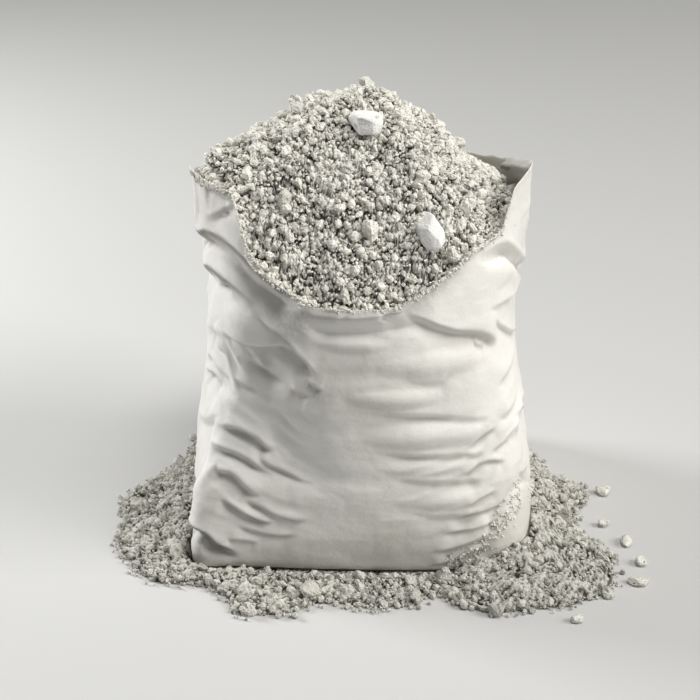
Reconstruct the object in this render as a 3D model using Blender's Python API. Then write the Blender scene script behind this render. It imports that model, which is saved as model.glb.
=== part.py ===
"""An opened cement sack, standing, with lumpy cement heaped in its mouth and spilled round its foot.

Metres, +Z up. The origin is the middle of the sack's foot, on the floor, and the sack's front faces -Y.
The wall of the sack is one skin of level rings. The cement inside is that skin shrunk by the paper and a
clearance, under a heap, and the spill outside is a low ring with the swollen skin cut out of it.
"""

import math

import bmesh
import bpy
import numpy as np
from mathutils import Vector, noise

# Driving sizes of the sack
PAPER = 0.0010
CLEARANCE = 0.0003
HALF_WIDTH = 0.1750
HALF_DEPTH = 0.1470
EAR_HEIGHT = 0.391
FRONT_RIM_HEIGHT = 0.293
BACK_RIM_HEIGHT = 0.345
TUBE_GIRTH = 1.06
FOOT_INSET = 0.006
FOOT_ROUNDING = 0.008
LEFT_SQUARENESS = 9.0
RIGHT_SQUARENESS = 6.0
SOFT_SQUARENESS = 4.3
MOUTH_SHARPNESS = 1.5
RIM_READ_HEIGHT = 0.360

# The front's broad relief: how far its belly and its upright keel stand out, where they are, and the shares
# of the ears' height over which they fade
BELLY = 0.009
BELLY_MIDDLE = 0.050
BELLY_HALF_WIDTH = 0.190
BELLY_FADE = (0.45, 0.85)
KEEL = 0.010
KEEL_MIDDLE = 0.020
KEEL_RADIUS = 0.030
KEEL_HALF_WIDTH = 0.140
KEEL_RISE = (0.00, 0.25)
KEEL_FADE = (0.62, 0.92)
EAR_LEAN = 0.030
EAR_LEAN_RISE = (0.60, 1.00)

# Driving sizes of the heap
HEAP_PEAK = Vector((0.004, 0.012, 0.451))
HEAP_BELOW_RIM = 0.003
HEAP_HIGHEST_EDGE = 0.372
HEAP_ROUNDNESS = 1.35
HEAP_OVERREACH = 1.12
HEAP_BLOCK_FLOOR = -0.020
BEYOND_RIM_SLOPE = 0.12
POCKET_START = 0.105
POCKET_RUN = 0.030
POCKET_FLOOR = 0.340
CREST_SPREAD = 0.055
CREST_END = 0.098
LUMPS_APART = 0.045
LUMPS_LIFT = 0.007

# Driving sizes of the spill, whose block reaches in under the sack before the sack is cut out of it
SPILL_MIDDLE_HEIGHT = 0.030
SPILL_INNER_SHARE = -0.35
SPILL_WALL_SHARE = 0.93
SPILL_WALL_SQUARENESS = 5
SPILL_FALL = 1.3
SPILL_EDGE_HEIGHT = 0.005
SPILL_EDGE_RUN = 0.004
SPILL_RIM_THICKNESS = 0.0008
SPILL_LUMPS_LIFT = 0.0025
SPILL_LUMPS_PITCH = 60.0

# How finely the skin and the heaps are cut, and how the heap's rings crowd towards its edge
SKIN_COLUMNS = 72
HEAP_RINGS = 11
HEAP_RING_CROWDING = 0.9
SPILL_COLUMNS = 96
SPILL_RINGS = 5

# Wall stations: share of the ears' height, shares of the half width and of the half depth in front and
# behind, how far the section is pinched to a pointed mouth, how far it stands to the right, and how far its
# corners have softened
WALL_STATIONS = (
    (0.00, 0.971, 0.935, 0.935, 0.00, 0.0030, 0.00),
    (0.08, 0.992, 0.945, 0.955, 0.02, 0.0030, 0.00),
    (0.23, 0.976, 0.925, 0.985, 0.08, 0.0020, 0.20),
    (0.38, 0.930, 0.905, 0.985, 0.16, 0.0020, 0.70),
    (0.51, 0.895, 0.895, 0.965, 0.28, 0.0020, 1.00),
    (0.64, 0.885, 0.900, 0.950, 0.45, 0.0020, 1.00),
    (0.77, 0.905, 0.925, 0.955, 0.65, 0.0040, 1.00),
    (0.88, 0.905, 0.950, 0.960, 0.85, 0.0045, 1.00),
    (1.00, 0.922, 0.955, 0.960, 0.95, 0.0020, 1.00),
)
# Heights of the skin's rings, as shares of the way from the floor to the rim
RING_SHARES = (
    *(0.0, 0.02, 0.08, 0.16, 0.25, 0.34, 0.43, 0.52, 0.60),
    *(0.67, 0.73, 0.78, 0.83, 0.88, 0.92, 0.96, 1.0),
)

# The cut rim seen from the front: distance from the middle and height
FRONT_RIM = (
    (-0.163, EAR_HEIGHT),
    (-0.127, 0.388),
    (-0.114, 0.383),
    (-0.100, 0.340),
    (-0.081, 0.321),
    (-0.055, 0.302),
    (-0.030, FRONT_RIM_HEIGHT),
    (0.015, FRONT_RIM_HEIGHT),
    (0.036, 0.297),
    (0.077, 0.320),
    (0.110, 0.341),
    (0.129, 0.346),
    (0.143, 0.379),
    (0.162, EAR_HEIGHT),
)
BACK_RIM = (
    (-0.163, EAR_HEIGHT),
    (-0.142, 0.372),
    (-0.100, 0.352),
    (-0.060, BACK_RIM_HEIGHT),
    (0.060, BACK_RIM_HEIGHT),
    (0.106, 0.354),
    (0.139, 0.367),
    (0.162, EAR_HEIGHT),
)

# The main folds run over these points on the paper: distance across from the middle of the front, and height
LEFT_EAR_UPPER_BAND = (
    *((-0.362, 0.335), (-0.306, 0.341), (-0.260, 0.329), (-0.208, 0.334)),
    *((-0.157, 0.335), (-0.107, 0.321), (-0.062, 0.297)),
)
LEFT_EAR_LOWER_BAND = (
    *((-0.350, 0.292), (-0.300, 0.298), (-0.259, 0.287), (-0.217, 0.293)),
    *((-0.171, 0.302), (-0.127, 0.292), (-0.089, 0.266)),
)
RIGHT_FLAP_EDGE = ((0.036, 0.297), (0.055, 0.284), (0.097, 0.265), (0.139, 0.248), (0.156, 0.232))
BAND_UNDER_FRONT_RIM = ((-0.063, 0.285), (-0.022, 0.283), (0.018, 0.288), (0.058, 0.284))
STEP_BELOW_RIGHT_EAR = (
    *((0.112, 0.326), (0.146, 0.321), (0.178, 0.312)),
    *((0.210, 0.300), (0.242, 0.287), (0.309, 0.285)),
)
# Each main fold: how far its lip stands out, how far the valley under it sinks, and where it runs
MAIN_FOLDS = (
    (0.0050, 0.0055, LEFT_EAR_UPPER_BAND),
    (0.0045, 0.0055, LEFT_EAR_LOWER_BAND),
    (0.0050, 0.0055, RIGHT_FLAP_EDGE),
    (0.0008, 0.0040, BAND_UNDER_FRONT_RIM),
    (0.0045, 0.0000, STEP_BELOW_RIGHT_EAR),
)
# How far a fold's step runs, how far its lip and its valley fade out beside it, the share of its length over
# which its ends fade, and the height at which folds reach their full depth
FOLD_RUN = 0.012
FOLD_ABOVE = 0.026
FOLD_BELOW = 0.020
FOLD_FADE = 0.18
FOLDS_FULL_HEIGHT = 0.020

# The heap's crest, from the left: distance from the middle, how far back it runs, and its rise over the cone
HEAP_CREST = (
    (-0.145, -0.010, 0.048),
    (-0.127, 0.003, 0.021),
    (-0.091, 0.010, 0.010),
    (-0.036, 0.026, 0.009),
    (0.000, 0.026, 0.003),
    (0.036, 0.037, -0.003),
    (0.060, 0.046, 0.008),
    (0.080, 0.046, 0.009),
    (0.095, 0.040, 0.000),
)

# The spill's outer edge on the floor, anticlockwise from the right, in metres
SPILL_EDGE = (
    (0.199, 0.040),
    (0.230, 0.020),
    (0.243, -0.008),
    (0.222, -0.033),
    (0.225, -0.080),
    (0.256, -0.107),
    (0.256, -0.141),
    (0.244, -0.167),
    (0.212, -0.199),
    (0.115, -0.212),
    (0.069, -0.176),
    (0.046, -0.200),
    (0.012, -0.200),
    (-0.038, -0.192),
    (-0.075, -0.212),
    (-0.130, -0.209),
    (-0.126, -0.178),
    (-0.168, -0.158),
    (-0.205, -0.168),
    (-0.221, -0.136),
    (-0.240, -0.107),
    (-0.246, -0.080),
    (-0.239, -0.052),
    (-0.250, -0.008),
    (-0.225, 0.020),
    (-0.196, 0.054),
    (-0.178, 0.105),
    (-0.140, 0.156),
    (-0.050, 0.175),
    (0.050, 0.175),
    (0.140, 0.156),
    (0.178, 0.105),
)
# Height of the spill where it leans on the sack: direction from the middle in degrees, and height
SPILL_AGAINST_SACK = (
    (-180, 0.026),
    (-142, 0.018),
    (-120, 0.011),
    (-80, 0.010),
    (-55, 0.018),
    (-40, 0.034),
    (-10, 0.034),
    (30, 0.026),
    (90, 0.014),
    (150, 0.020),
    (180, 0.026),
)

# Bright flat lumps in the heap: name, place on the heap in plan, half sizes, and turn about Z in degrees
PALE_LUMPS = (
    ("pale_lump_upper", (0.006, -0.022), (0.017, 0.013, 0.009), 15),
    ("pale_lump_lower", (0.064, -0.098), (0.013, 0.020, 0.009), 22),
)
# Lumps lying off the spill: place on the floor and half sizes
STRAY_LUMPS = (
    ((0.262, 0.000), (0.009, 0.007, 0.006)),
    ((0.254, -0.060), (0.007, 0.005, 0.004)),
    ((0.273, -0.092), (0.010, 0.006, 0.005)),
    ((0.283, -0.128), (0.008, 0.005, 0.004)),
    ((0.275, -0.162), (0.011, 0.006, 0.004)),
    ((0.206, -0.222), (0.007, 0.005, 0.004)),
)

# How uneven lumps are, and the shares of their half height by which they sit above the heap or the floor
LUMP_UNEVENNESS = 0.16
LUMP_NOISE_PITCH = 1.7
PALE_LUMP_SEAT = 0.25
STRAY_LUMP_SEAT = 0.8
STRAY_LUMP_TURN = 40.0

PAPER_COLOUR = (0.80, 0.78, 0.72)
CEMENT_COLOUR = (0.50, 0.48, 0.42)
PALE_COLOUR = (0.82, 0.81, 0.78)
MANY_POINTS = 720
CUTTER_OVERRUN = 0.05
SHARP_ANGLE = 50.0


def eased(share):
    """A share from 0 to 1 with level ends."""
    share = min(1.0, max(0.0, share))
    return share * share * (3.0 - 2.0 * share)


def risen(value, start_and_end):
    """How far a value has come from a start to an end, from 0 to 1 with level ends."""
    start, end = start_and_end
    return eased((value - start) / (end - start))


def along(stations, key):
    """The values of a table of stations, eased between the two that the key lies between."""
    for low, high in zip(stations, stations[1:]):
        if key <= high[0]:
            break
    share = eased((key - low[0]) / (high[0] - low[0]))
    return [a + (b - a) * share for a, b in zip(low[1:], high[1:])]


def straight(stations, key):
    """The values of a table of stations, on straight lines between them."""
    keys, *rows = zip(*stations)
    return [float(np.interp(key, keys, row)) for row in rows]


def curved(stations, key):
    """The values of a table of stations, on a smooth curve through them."""
    table = np.array(stations)
    keys, values = table[:, 0], table[:, 1:]
    slopes = np.gradient(values, keys, axis=0)
    key = min(max(key, keys[0]), keys[-1])
    low = min(int(np.searchsorted(keys, key, side="right")) - 1, len(keys) - 2)
    step = keys[low + 1] - keys[low]
    t = (key - keys[low]) / step
    start = (1 + 2 * t) * (1 - t) ** 2 * values[low] + t * (1 - t) ** 2 * step * slopes[low]
    end = t * t * (3 - 2 * t) * values[low + 1] + t * t * (t - 1) * step * slopes[low + 1]
    return (start + end).tolist()


def evenly_spaced(outline):
    """SKIN_COLUMNS points at equal steps along each quarter of a closed outline, a function of the turn."""
    quarter = SKIN_COLUMNS // 4
    points = []
    for start in range(4):
        fine = [outline((start + k / MANY_POINTS) * math.pi / 2) for k in range(MANY_POINTS + 1)]
        run = [0.0]
        for a, b in zip(fine, fine[1:]):
            run.append(run[-1] + (b - a).length)
        k = 0
        for step in range(quarter):
            target = run[-1] * step / quarter
            while run[k + 1] < target:
                k += 1
            points.append(fine[k].lerp(fine[k + 1], (target - run[k]) / (run[k + 1] - run[k])))
    return points


def rounded_box(turn, squareness):
    """A superellipse of half size 1."""
    c, s = math.cos(turn), math.sin(turn)
    power = 2.0 / squareness
    return Vector((math.copysign(abs(c) ** power, c), math.copysign(abs(s) ** power, s)))


def box_section(turn):
    """The filled sack's section low down, squarer on the left."""
    return rounded_box(turn, LEFT_SQUARENESS if math.cos(turn) < 0 else RIGHT_SQUARENESS)


def soft_section(turn):
    """The filled sack's section from its middle up, with rounder corners."""
    return rounded_box(turn, SOFT_SQUARENESS)


def mouth_section(turn):
    """A lens of half size 1, pointed at the two ears where front and back sheets meet."""
    c, s = math.cos(turn), math.sin(turn)
    return Vector((c, math.copysign(abs(s) ** MOUTH_SHARPNESS, s)))


BOX_RING = evenly_spaced(box_section)
SOFT_RING = evenly_spaced(soft_section)
MOUTH_RING = evenly_spaced(mouth_section)


def smooth_wall_point(column, height):
    """The outer skin of the sack at one column and height, without its folds."""
    share = height / EAR_HEIGHT
    width, ahead, behind, pinch, shift, softness = curved(WALL_STATIONS, share)
    column %= SKIN_COLUMNS
    plan = BOX_RING[column].lerp(SOFT_RING[column], softness).lerp(MOUTH_RING[column], pinch)
    x = plan.x * width * HALF_WIDTH + shift
    y = plan.y * (ahead if plan.y < 0 else behind) * HALF_DEPTH
    front = eased(-2.0 * plan.y)
    belly = BELLY * (1.0 - ((x - BELLY_MIDDLE) / BELLY_HALF_WIDTH) ** 2)
    y -= belly * front * (1.0 - risen(share, BELLY_FADE))
    beside_keel = math.hypot(x - KEEL_MIDDLE, KEEL_RADIUS) - KEEL_RADIUS
    keel = KEEL * (1.0 - beside_keel / KEEL_HALF_WIDTH)
    y -= keel * front * risen(share, KEEL_RISE) * (1.0 - risen(share, KEEL_FADE))
    y -= EAR_LEAN * abs(plan.x) ** 6 * risen(share, EAR_LEAN_RISE)
    return Vector((x, y, height))


def fold_lift(across, up):
    """How far the main folds move the paper outwards at one place on the sheet."""
    lift = 0.0
    for lip, drop, path in MAIN_FOLDS:
        start, end = Vector(path[0]), Vector(path[-1])
        length = (end - start).length
        ahead = (end - start) / length
        left = Vector((-ahead.y, ahead.x))
        line = [(offset.dot(ahead), offset.dot(left)) for offset in (Vector(p) - start for p in path)]
        place = Vector((across, up)) - start
        side = place.dot(left) - straight(line, place.dot(ahead))[0]
        share = place.dot(ahead) / length
        strength = eased(share / FOLD_FADE) * eased((1.0 - share) / FOLD_FADE)
        if side > 0:
            moved = lip * math.exp(-side / FOLD_ABOVE)
        elif side > -FOLD_RUN:
            moved = lip - (lip + drop) * eased(-side / FOLD_RUN)
        else:
            moved = -drop * math.exp((side + FOLD_RUN) / FOLD_BELOW)
        lift += moved * strength
    return lift


def wall_point(column, height):
    """The outer skin of the sack at one column and height, with its main folds."""
    point = smooth_wall_point(column, height)
    tangent = smooth_wall_point(column + 1, height) - smooth_wall_point(column - 1, height)
    outward = Vector((tangent.y, -tangent.x, 0.0)).normalized()
    quarters_from_front = (4.0 * column / SKIN_COLUMNS - 1.0) % 4.0 - 2.0
    across = quarters_from_front / 4.0 * TUBE_GIRTH
    point += outward * fold_lift(across, height) * eased(height / FOLDS_FULL_HEIGHT)
    point -= outward * FOOT_INSET * (1.0 - eased(height / FOOT_ROUNDING))
    return point


def rim_height(column):
    """Height of the cut rim at one column."""
    across = smooth_wall_point(column, RIM_READ_HEIGHT).x
    if MOUTH_RING[column].y < 0:
        return straight(FRONT_RIM, across)[0]
    return curved(BACK_RIM, across)[0]


def sack_skin():
    """The sack's outer skin, foot closed and mouth open, cut into triangles so that copies stay parallel."""
    skin = bmesh.new()
    rings = []
    for share in RING_SHARES:
        rings.append([skin.verts.new(wall_point(c, share * rim_height(c))) for c in range(SKIN_COLUMNS)])
    for low, high in zip(rings, rings[1:]):
        for c in range(SKIN_COLUMNS):
            d = (c + 1) % SKIN_COLUMNS
            skin.faces.new((low[c], low[d], high[d], high[c]))
    skin.faces.new(reversed(rings[0]))
    bmesh.ops.triangulate(skin, faces=skin.faces[:])
    skin.normal_update()
    return skin


def shift_skin(skin, distance):
    """Moves a skin's faces outwards by one distance, inwards if it is negative."""
    moves = [(v, v.normal * distance * v.calc_shell_factor()) for v in skin.verts]
    for vert, move in moves:
        vert.co += move
    return skin


def walled(skin):
    """Gives the skin the paper's thickness inwards, with an inner wall and an edge along the rim."""
    outer = skin.faces[:]
    copied = bmesh.ops.duplicate(skin, geom=outer)
    inner = [g for g in copied["geom"] if isinstance(g, bmesh.types.BMFace)]
    skin.normal_update()
    moves = [(v, v.normal * -PAPER * v.calc_shell_factor()) for v in {v for f in inner for v in f.verts}]
    for vert, move in moves:
        vert.co += move
    bmesh.ops.reverse_faces(skin, faces=inner)
    bmesh.ops.bridge_loops(skin, edges=[e for e in skin.edges if e.is_boundary])
    bmesh.ops.recalc_face_normals(skin, faces=skin.faces)
    return skin


def close_mouth(skin, height):
    """Carries the skin's open rim straight up to one height and closes it there."""
    rim = [e for e in skin.edges if e.is_boundary]
    raised = bmesh.ops.extrude_edge_only(skin, edges=rim)["geom"]
    top = [g for g in raised if isinstance(g, bmesh.types.BMVert)]
    for vert in top:
        vert.co.z = height
    bmesh.ops.contextual_create(skin, geom=[g for g in raised if isinstance(g, bmesh.types.BMEdge)])
    bmesh.ops.recalc_face_normals(skin, faces=skin.faces)
    return skin


def heap_height(column, reach):
    """Height of the heap above a column's direction, at a reach of 0 at the peak and 1 at the wall."""
    rim = wall_point(column, rim_height(column))
    edge = min(rim.z - HEAP_BELOW_RIM, HEAP_HIGHEST_EDGE)
    edge += (min(POCKET_FLOOR, edge) - edge) * eased((rim.x - POCKET_START) / POCKET_RUN)
    share = min(reach, 1.0)
    cone = edge + (HEAP_PEAK.z - edge) * (1.0 - share**HEAP_ROUNDNESS)
    place = HEAP_PEAK.lerp(rim, reach)
    crest_back, rise = straight(HEAP_CREST, place.x)
    crest = rise * math.exp(-(((place.y - crest_back) / CREST_SPREAD) ** 2)) * (1.0 - share**6)
    crest *= 1.0 - eased((place.x - CREST_END) / POCKET_RUN)
    lumps = noise.noise(Vector((place.x, place.y, 0.0)) / LUMPS_APART) * LUMPS_LIFT * (1.0 - share**4)
    return cone + crest + lumps - max(0.0, reach - 1.0) * BEYOND_RIM_SLOPE


def polar_solid(columns, rings, floor):
    """Closes rings of points, given outwards from one top point, with a skirt and a flat floor."""
    solid = bmesh.new()
    peak = solid.verts.new(rings[0])
    loops = [[solid.verts.new(p) for p in ring] for ring in rings[1:]]
    loops.append([solid.verts.new((v.co.x, v.co.y, floor)) for v in loops[-1]])
    for c in range(columns):
        d = (c + 1) % columns
        solid.faces.new((peak, loops[0][c], loops[0][d]))
        for near, far in zip(loops, loops[1:]):
            solid.faces.new((near[c], far[c], far[d], near[d]))
    solid.faces.new(reversed(loops[-1]))
    bmesh.ops.recalc_face_normals(solid, faces=solid.faces)
    return solid


def heap_solid():
    """A block whose top is the heap, wider than the mouth."""
    rings = [Vector((HEAP_PEAK.x, HEAP_PEAK.y, heap_height(0, 0.0)))]
    reaches = [(k / HEAP_RINGS) ** HEAP_RING_CROWDING for k in range(1, HEAP_RINGS + 1)]
    for reach in (*reaches, HEAP_OVERREACH):
        ring = []
        for c in range(SKIN_COLUMNS):
            plan = HEAP_PEAK.lerp(wall_point(c, rim_height(c)), reach)
            ring.append(Vector((plan.x, plan.y, heap_height(c, reach))))
        rings.append(ring)
    return polar_solid(SKIN_COLUMNS, rings, HEAP_BLOCK_FLOOR)


def spill_reach(direction):
    """Distance from the middle to the spill's edge in one direction, in radians."""
    corners = [Vector(p) for p in SPILL_EDGE]
    ray = Vector((math.cos(direction), math.sin(direction)))
    for a, b in zip(corners, corners[1:] + corners[:1]):
        side = b - a
        cross = ray.cross(side)
        if abs(cross) < 1e-9:
            continue
        distance = a.cross(side) / cross
        share = a.cross(ray) / cross
        if distance > 0 and -1e-6 <= share <= 1 + 1e-6:
            return distance
    raise ValueError("the spill's edge must go all the way round")


def distance_to_sack(ray):
    """Distance from the middle, along a level ray, at which the spill begins to fall away from the sack."""
    across, back = abs(ray.x / HALF_WIDTH), abs(ray.y / HALF_DEPTH)
    power = SPILL_WALL_SQUARENESS
    return SPILL_WALL_SHARE / (across**power + back**power) ** (1.0 / power)


def spill_solid():
    """A low mound under and round the sack, highest where it leans on the sack."""
    columns = [math.tau * c / SPILL_COLUMNS - math.pi for c in range(SPILL_COLUMNS)]
    rings = [Vector((0.0, 0.0, SPILL_MIDDLE_HEIGHT))]
    for k in range(SPILL_RINGS + 2):
        share = min(1.0, (k - 1) / (SPILL_RINGS - 1)) if k else SPILL_INNER_SHARE
        on_edge = k == SPILL_RINGS + 1
        ring = []
        for turn in columns:
            leaning = along(SPILL_AGAINST_SACK, math.degrees(turn))[0]
            edge = spill_reach(turn)
            ray = Vector((math.cos(turn), math.sin(turn), 0.0))
            wall = distance_to_sack(ray)
            run = edge - SPILL_EDGE_RUN - wall
            fall = (1.0 - max(0.0, share)) ** SPILL_FALL
            height = SPILL_EDGE_HEIGHT + (leaning - SPILL_EDGE_HEIGHT) * fall
            lumps = noise.noise(ray * (wall + run * share) * SPILL_LUMPS_PITCH) * SPILL_LUMPS_LIFT
            point = ray * (edge if on_edge else wall + run * share)
            point.z = SPILL_RIM_THICKNESS if on_edge else height + lumps * (share > 0)
            ring.append(point)
        rings.append(ring)
    return polar_solid(SPILL_COLUMNS, rings, 0.0)


def lump(centre, half, turn=0.0, seed=0):
    """A blunt, slightly uneven stone with the given half sizes about its centre."""
    stone = bmesh.new()
    bmesh.ops.create_icosphere(stone, subdivisions=2, radius=1.0)
    cos_turn, sin_turn = math.cos(math.radians(turn)), math.sin(math.radians(turn))
    for vert in stone.verts:
        uneven = 1.0 + LUMP_UNEVENNESS * noise.noise(vert.co * LUMP_NOISE_PITCH + Vector((seed, 0.0, 0.0)))
        x, y, z = (vert.co[i] * half[i] * uneven for i in range(3))
        vert.co = Vector((x * cos_turn - y * sin_turn, x * sin_turn + y * cos_turn, z)) + centre
    return stone


def stray_lump(place, half, seed):
    """A stone that has rolled off the spill and lies on the floor on a flat side."""
    centre = Vector((*place, half[2] * STRAY_LUMP_SEAT))
    stone = lump(centre, half, turn=STRAY_LUMP_TURN * seed, seed=seed)
    bmesh.ops.bisect_plane(
        stone,
        geom=stone.verts[:] + stone.edges[:] + stone.faces[:],
        plane_co=(0.0, 0.0, 0.0),
        plane_no=(0.0, 0.0, 1.0),
        clear_inner=True,
    )
    bmesh.ops.holes_fill(stone, edges=[e for e in stone.edges if e.is_boundary])
    bmesh.ops.recalc_face_normals(stone, faces=stone.faces)
    return stone


def material(name, colour, roughness):
    """A plain surface with the real thing's colour and roughness."""
    made = bpy.data.materials.new(name)
    made.use_nodes = True
    surface = made.node_tree.nodes["Principled BSDF"]
    surface.inputs["Base Color"].default_value = (*colour, 1.0)
    surface.inputs["Roughness"].default_value = roughness
    surface.inputs["Metallic"].default_value = 0.0
    return made


def add(name, shape, finish=None):
    """Puts a bmesh in the scene as a named object. One with no finish is a cutter."""
    mesh = bpy.data.meshes.new(name)
    shape.to_mesh(mesh)
    shape.free()
    obj = bpy.data.objects.new(name, mesh)
    bpy.context.scene.collection.objects.link(obj)
    if finish is None:
        obj.hide_render = True
        obj.display_type = "WIRE"
    else:
        mesh.materials.append(finish)
        mesh.shade_smooth()
        mesh.set_sharp_from_angle(angle=math.radians(SHARP_ANGLE))
    return obj


def boolean(obj, operation, other):
    """Cuts away or keeps what two solids share."""
    step = obj.modifiers.new(f"{operation.lower()} {other.name}", "BOOLEAN")
    step.operation = operation
    step.object = other


def height_on_heap(x, y):
    """Height of the heap's top above a point in plan, from the nearest column of the heap."""
    offset = Vector((x - HEAP_PEAK.x, y - HEAP_PEAK.y))
    rim = [wall_point(c, rim_height(c)).xy - HEAP_PEAK.xy for c in range(SKIN_COLUMNS)]
    best = max(range(SKIN_COLUMNS), key=lambda c: rim[c].normalized().dot(offset.normalized()))
    return heap_height(best, offset.length / rim[best].length)


def build_sack(paper):
    """The paper sack, foot closed and mouth open."""
    return add("paper_sack", walled(sack_skin()), paper)


def build_fill(cement, pale):
    """The cement in the sack with its heap, and the bright flat lumps seated in the heap."""
    inside = close_mouth(shift_skin(sack_skin(), -(PAPER + CLEARANCE)), HEAP_PEAK.z + CUTTER_OVERRUN)
    fill = add("cement_fill", inside, cement)
    boolean(fill, "INTERSECT", add("heap_block", heap_solid()))
    for seed, (name, place, half, turn) in enumerate(PALE_LUMPS):
        sunk = Vector((*place, height_on_heap(*place) + half[2] * PALE_LUMP_SEAT))
        add(name, lump(sunk, half, turn, seed), pale)
        seat = [h + 2.0 * CLEARANCE for h in half]
        boolean(fill, "DIFFERENCE", add(f"{name}_seat", lump(sunk, seat, turn, seed)))
    return fill


def build_spill(cement):
    """The cement on the floor: a ring round the sack, and the lumps that rolled off it."""
    spill = add("spilled_cement", spill_solid(), cement)
    swollen = close_mouth(shift_skin(sack_skin(), CLEARANCE), EAR_HEIGHT + CUTTER_OVERRUN)
    for vert in swollen.verts:
        if vert.co.z < CLEARANCE:
            vert.co.z = -CUTTER_OVERRUN
    boolean(spill, "DIFFERENCE", add("sack_clearance", swollen))
    for seed, (place, half) in enumerate(STRAY_LUMPS):
        add(f"stray_lump_{seed + 1}", stray_lump(place, half, seed), cement)


def main():
    for obj in list(bpy.data.objects):
        bpy.data.objects.remove(obj)
    paper = material("sack_paper", PAPER_COLOUR, 0.75)
    cement = material("cement", CEMENT_COLOUR, 0.95)
    pale = material("pale_cement", PALE_COLOUR, 0.9)
    build_sack(paper)
    build_fill(cement, pale)
    build_spill(cement)


main()
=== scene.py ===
"""Looks of an opened cement sack: creased paper, a heap of cement in its mouth and a spill round its foot.

Metres, +Z up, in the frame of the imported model. The sack's front faces -Y. The main pieces stand in the
place of the frame's nodes, loose crumbs lie on them, and the whole is one body.
"""

from __future__ import annotations

import logging
import math
from dataclasses import dataclass
from enum import Enum
from typing import Callable, Sequence

import bpy
import numpy as np
from mathutils import Euler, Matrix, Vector
from mathutils.bvhtree import BVHTree

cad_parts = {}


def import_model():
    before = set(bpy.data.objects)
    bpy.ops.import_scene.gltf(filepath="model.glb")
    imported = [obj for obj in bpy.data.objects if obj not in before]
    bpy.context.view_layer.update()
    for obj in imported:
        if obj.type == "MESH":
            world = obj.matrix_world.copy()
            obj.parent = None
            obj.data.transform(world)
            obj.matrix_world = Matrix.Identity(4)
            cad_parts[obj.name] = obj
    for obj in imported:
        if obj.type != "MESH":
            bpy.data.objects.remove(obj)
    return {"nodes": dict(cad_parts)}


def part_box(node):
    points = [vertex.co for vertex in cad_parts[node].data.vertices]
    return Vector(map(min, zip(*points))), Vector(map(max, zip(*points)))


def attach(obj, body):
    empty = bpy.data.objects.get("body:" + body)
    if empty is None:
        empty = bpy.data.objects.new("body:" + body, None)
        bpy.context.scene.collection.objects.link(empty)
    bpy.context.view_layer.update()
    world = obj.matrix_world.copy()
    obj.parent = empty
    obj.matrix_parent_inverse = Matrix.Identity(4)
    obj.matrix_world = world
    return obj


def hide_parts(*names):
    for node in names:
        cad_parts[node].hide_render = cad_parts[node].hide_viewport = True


Array = np.ndarray
Pair = tuple[float, float]
Triple = tuple[float, float, float]
Piece = bpy.types.Object
Finish = bpy.types.Material
Socket = bpy.types.NodeSocket
Plugs = dict[str | int, object]
SheetRule = Callable[[Array], Array]

BODY = "root"
LOG = logging.getLogger("cement_sack")

# Whole numbers that stir a cell's place and a seed into a random number of 32 bits
AXIS_STIR = (73856093, 19349663, 83492791)
SEED_STIR = 40503
ROUND_STIR = ((15, 2246822519), (13, 3266489917))
LAST_SHIFT = 16
ALL_BITS = 0xFFFFFFFF

# Vertices nearer than this are made one, and stations of a curve are kept at least this far apart
MERGE_DISTANCE = 0.00002
STATION_STEP = 1e-7

# How steep a grain's side is, how far its top leans, and how high the lean may lift it
GRAIN_EDGE = 2.0
GRAIN_TILT = 1.7
GRAIN_TOP = 1.3


def eased(share: Array) -> Array:
    """A share clamped to 0..1, with level ends."""
    share = np.clip(share, 0.0, 1.0)
    return share * share * (3.0 - 2.0 * share)


def past(value: Array, start: float, fade: float) -> Array:
    """0 up to a start, then easing to 1 over a fade."""
    return eased((value - start) / fade)


def inside(value: Array, reach: float, fade: float) -> Array:
    """0 beyond a reach, easing to 1 over a fade within it."""
    return eased((reach - value) / fade)


def curve_through(keys: Sequence[float], values: Sequence[float], at: Array) -> Array:
    """Reads a smooth curve through a few stations.

    Args:
        keys: the stations' places, rising.
        values: the curve's value at each station.
        at: the places to read.

    Returns:
        The curve's values there, held level beyond its ends.
    """
    keys, values = np.asarray(keys, float), np.asarray(values, float)
    slopes = np.gradient(values, keys)
    at = np.clip(at, keys[0], keys[-1])
    low = np.clip(np.searchsorted(keys, at, side="right") - 1, 0, len(keys) - 2)
    step = keys[low + 1] - keys[low]
    t = (at - keys[low]) / step
    start = (1.0 + 2.0 * t) * (1.0 - t) ** 2 * values[low] + t * (1.0 - t) ** 2 * step * slopes[low]
    end = t * t * (3.0 - 2.0 * t) * values[low + 1] + t * t * (t - 1.0) * step * slopes[low + 1]
    return start + end


def cell_noise(cells: Array, seed: int) -> Array:
    """One random number from 0 to 1 for each whole-number cell of space."""
    mixed = cells[..., 0] * AXIS_STIR[0] ^ cells[..., 1] * AXIS_STIR[1] ^ cells[..., 2] * AXIS_STIR[2]
    mixed = (mixed ^ (seed + 1) * SEED_STIR).astype(np.uint64) & np.uint64(ALL_BITS)
    for shift, factor in ROUND_STIR:
        mixed = (mixed ^ (mixed >> np.uint64(shift))) * np.uint64(factor) & np.uint64(ALL_BITS)
    return (mixed ^ (mixed >> np.uint64(LAST_SHIFT))) / 2.0**32


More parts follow.
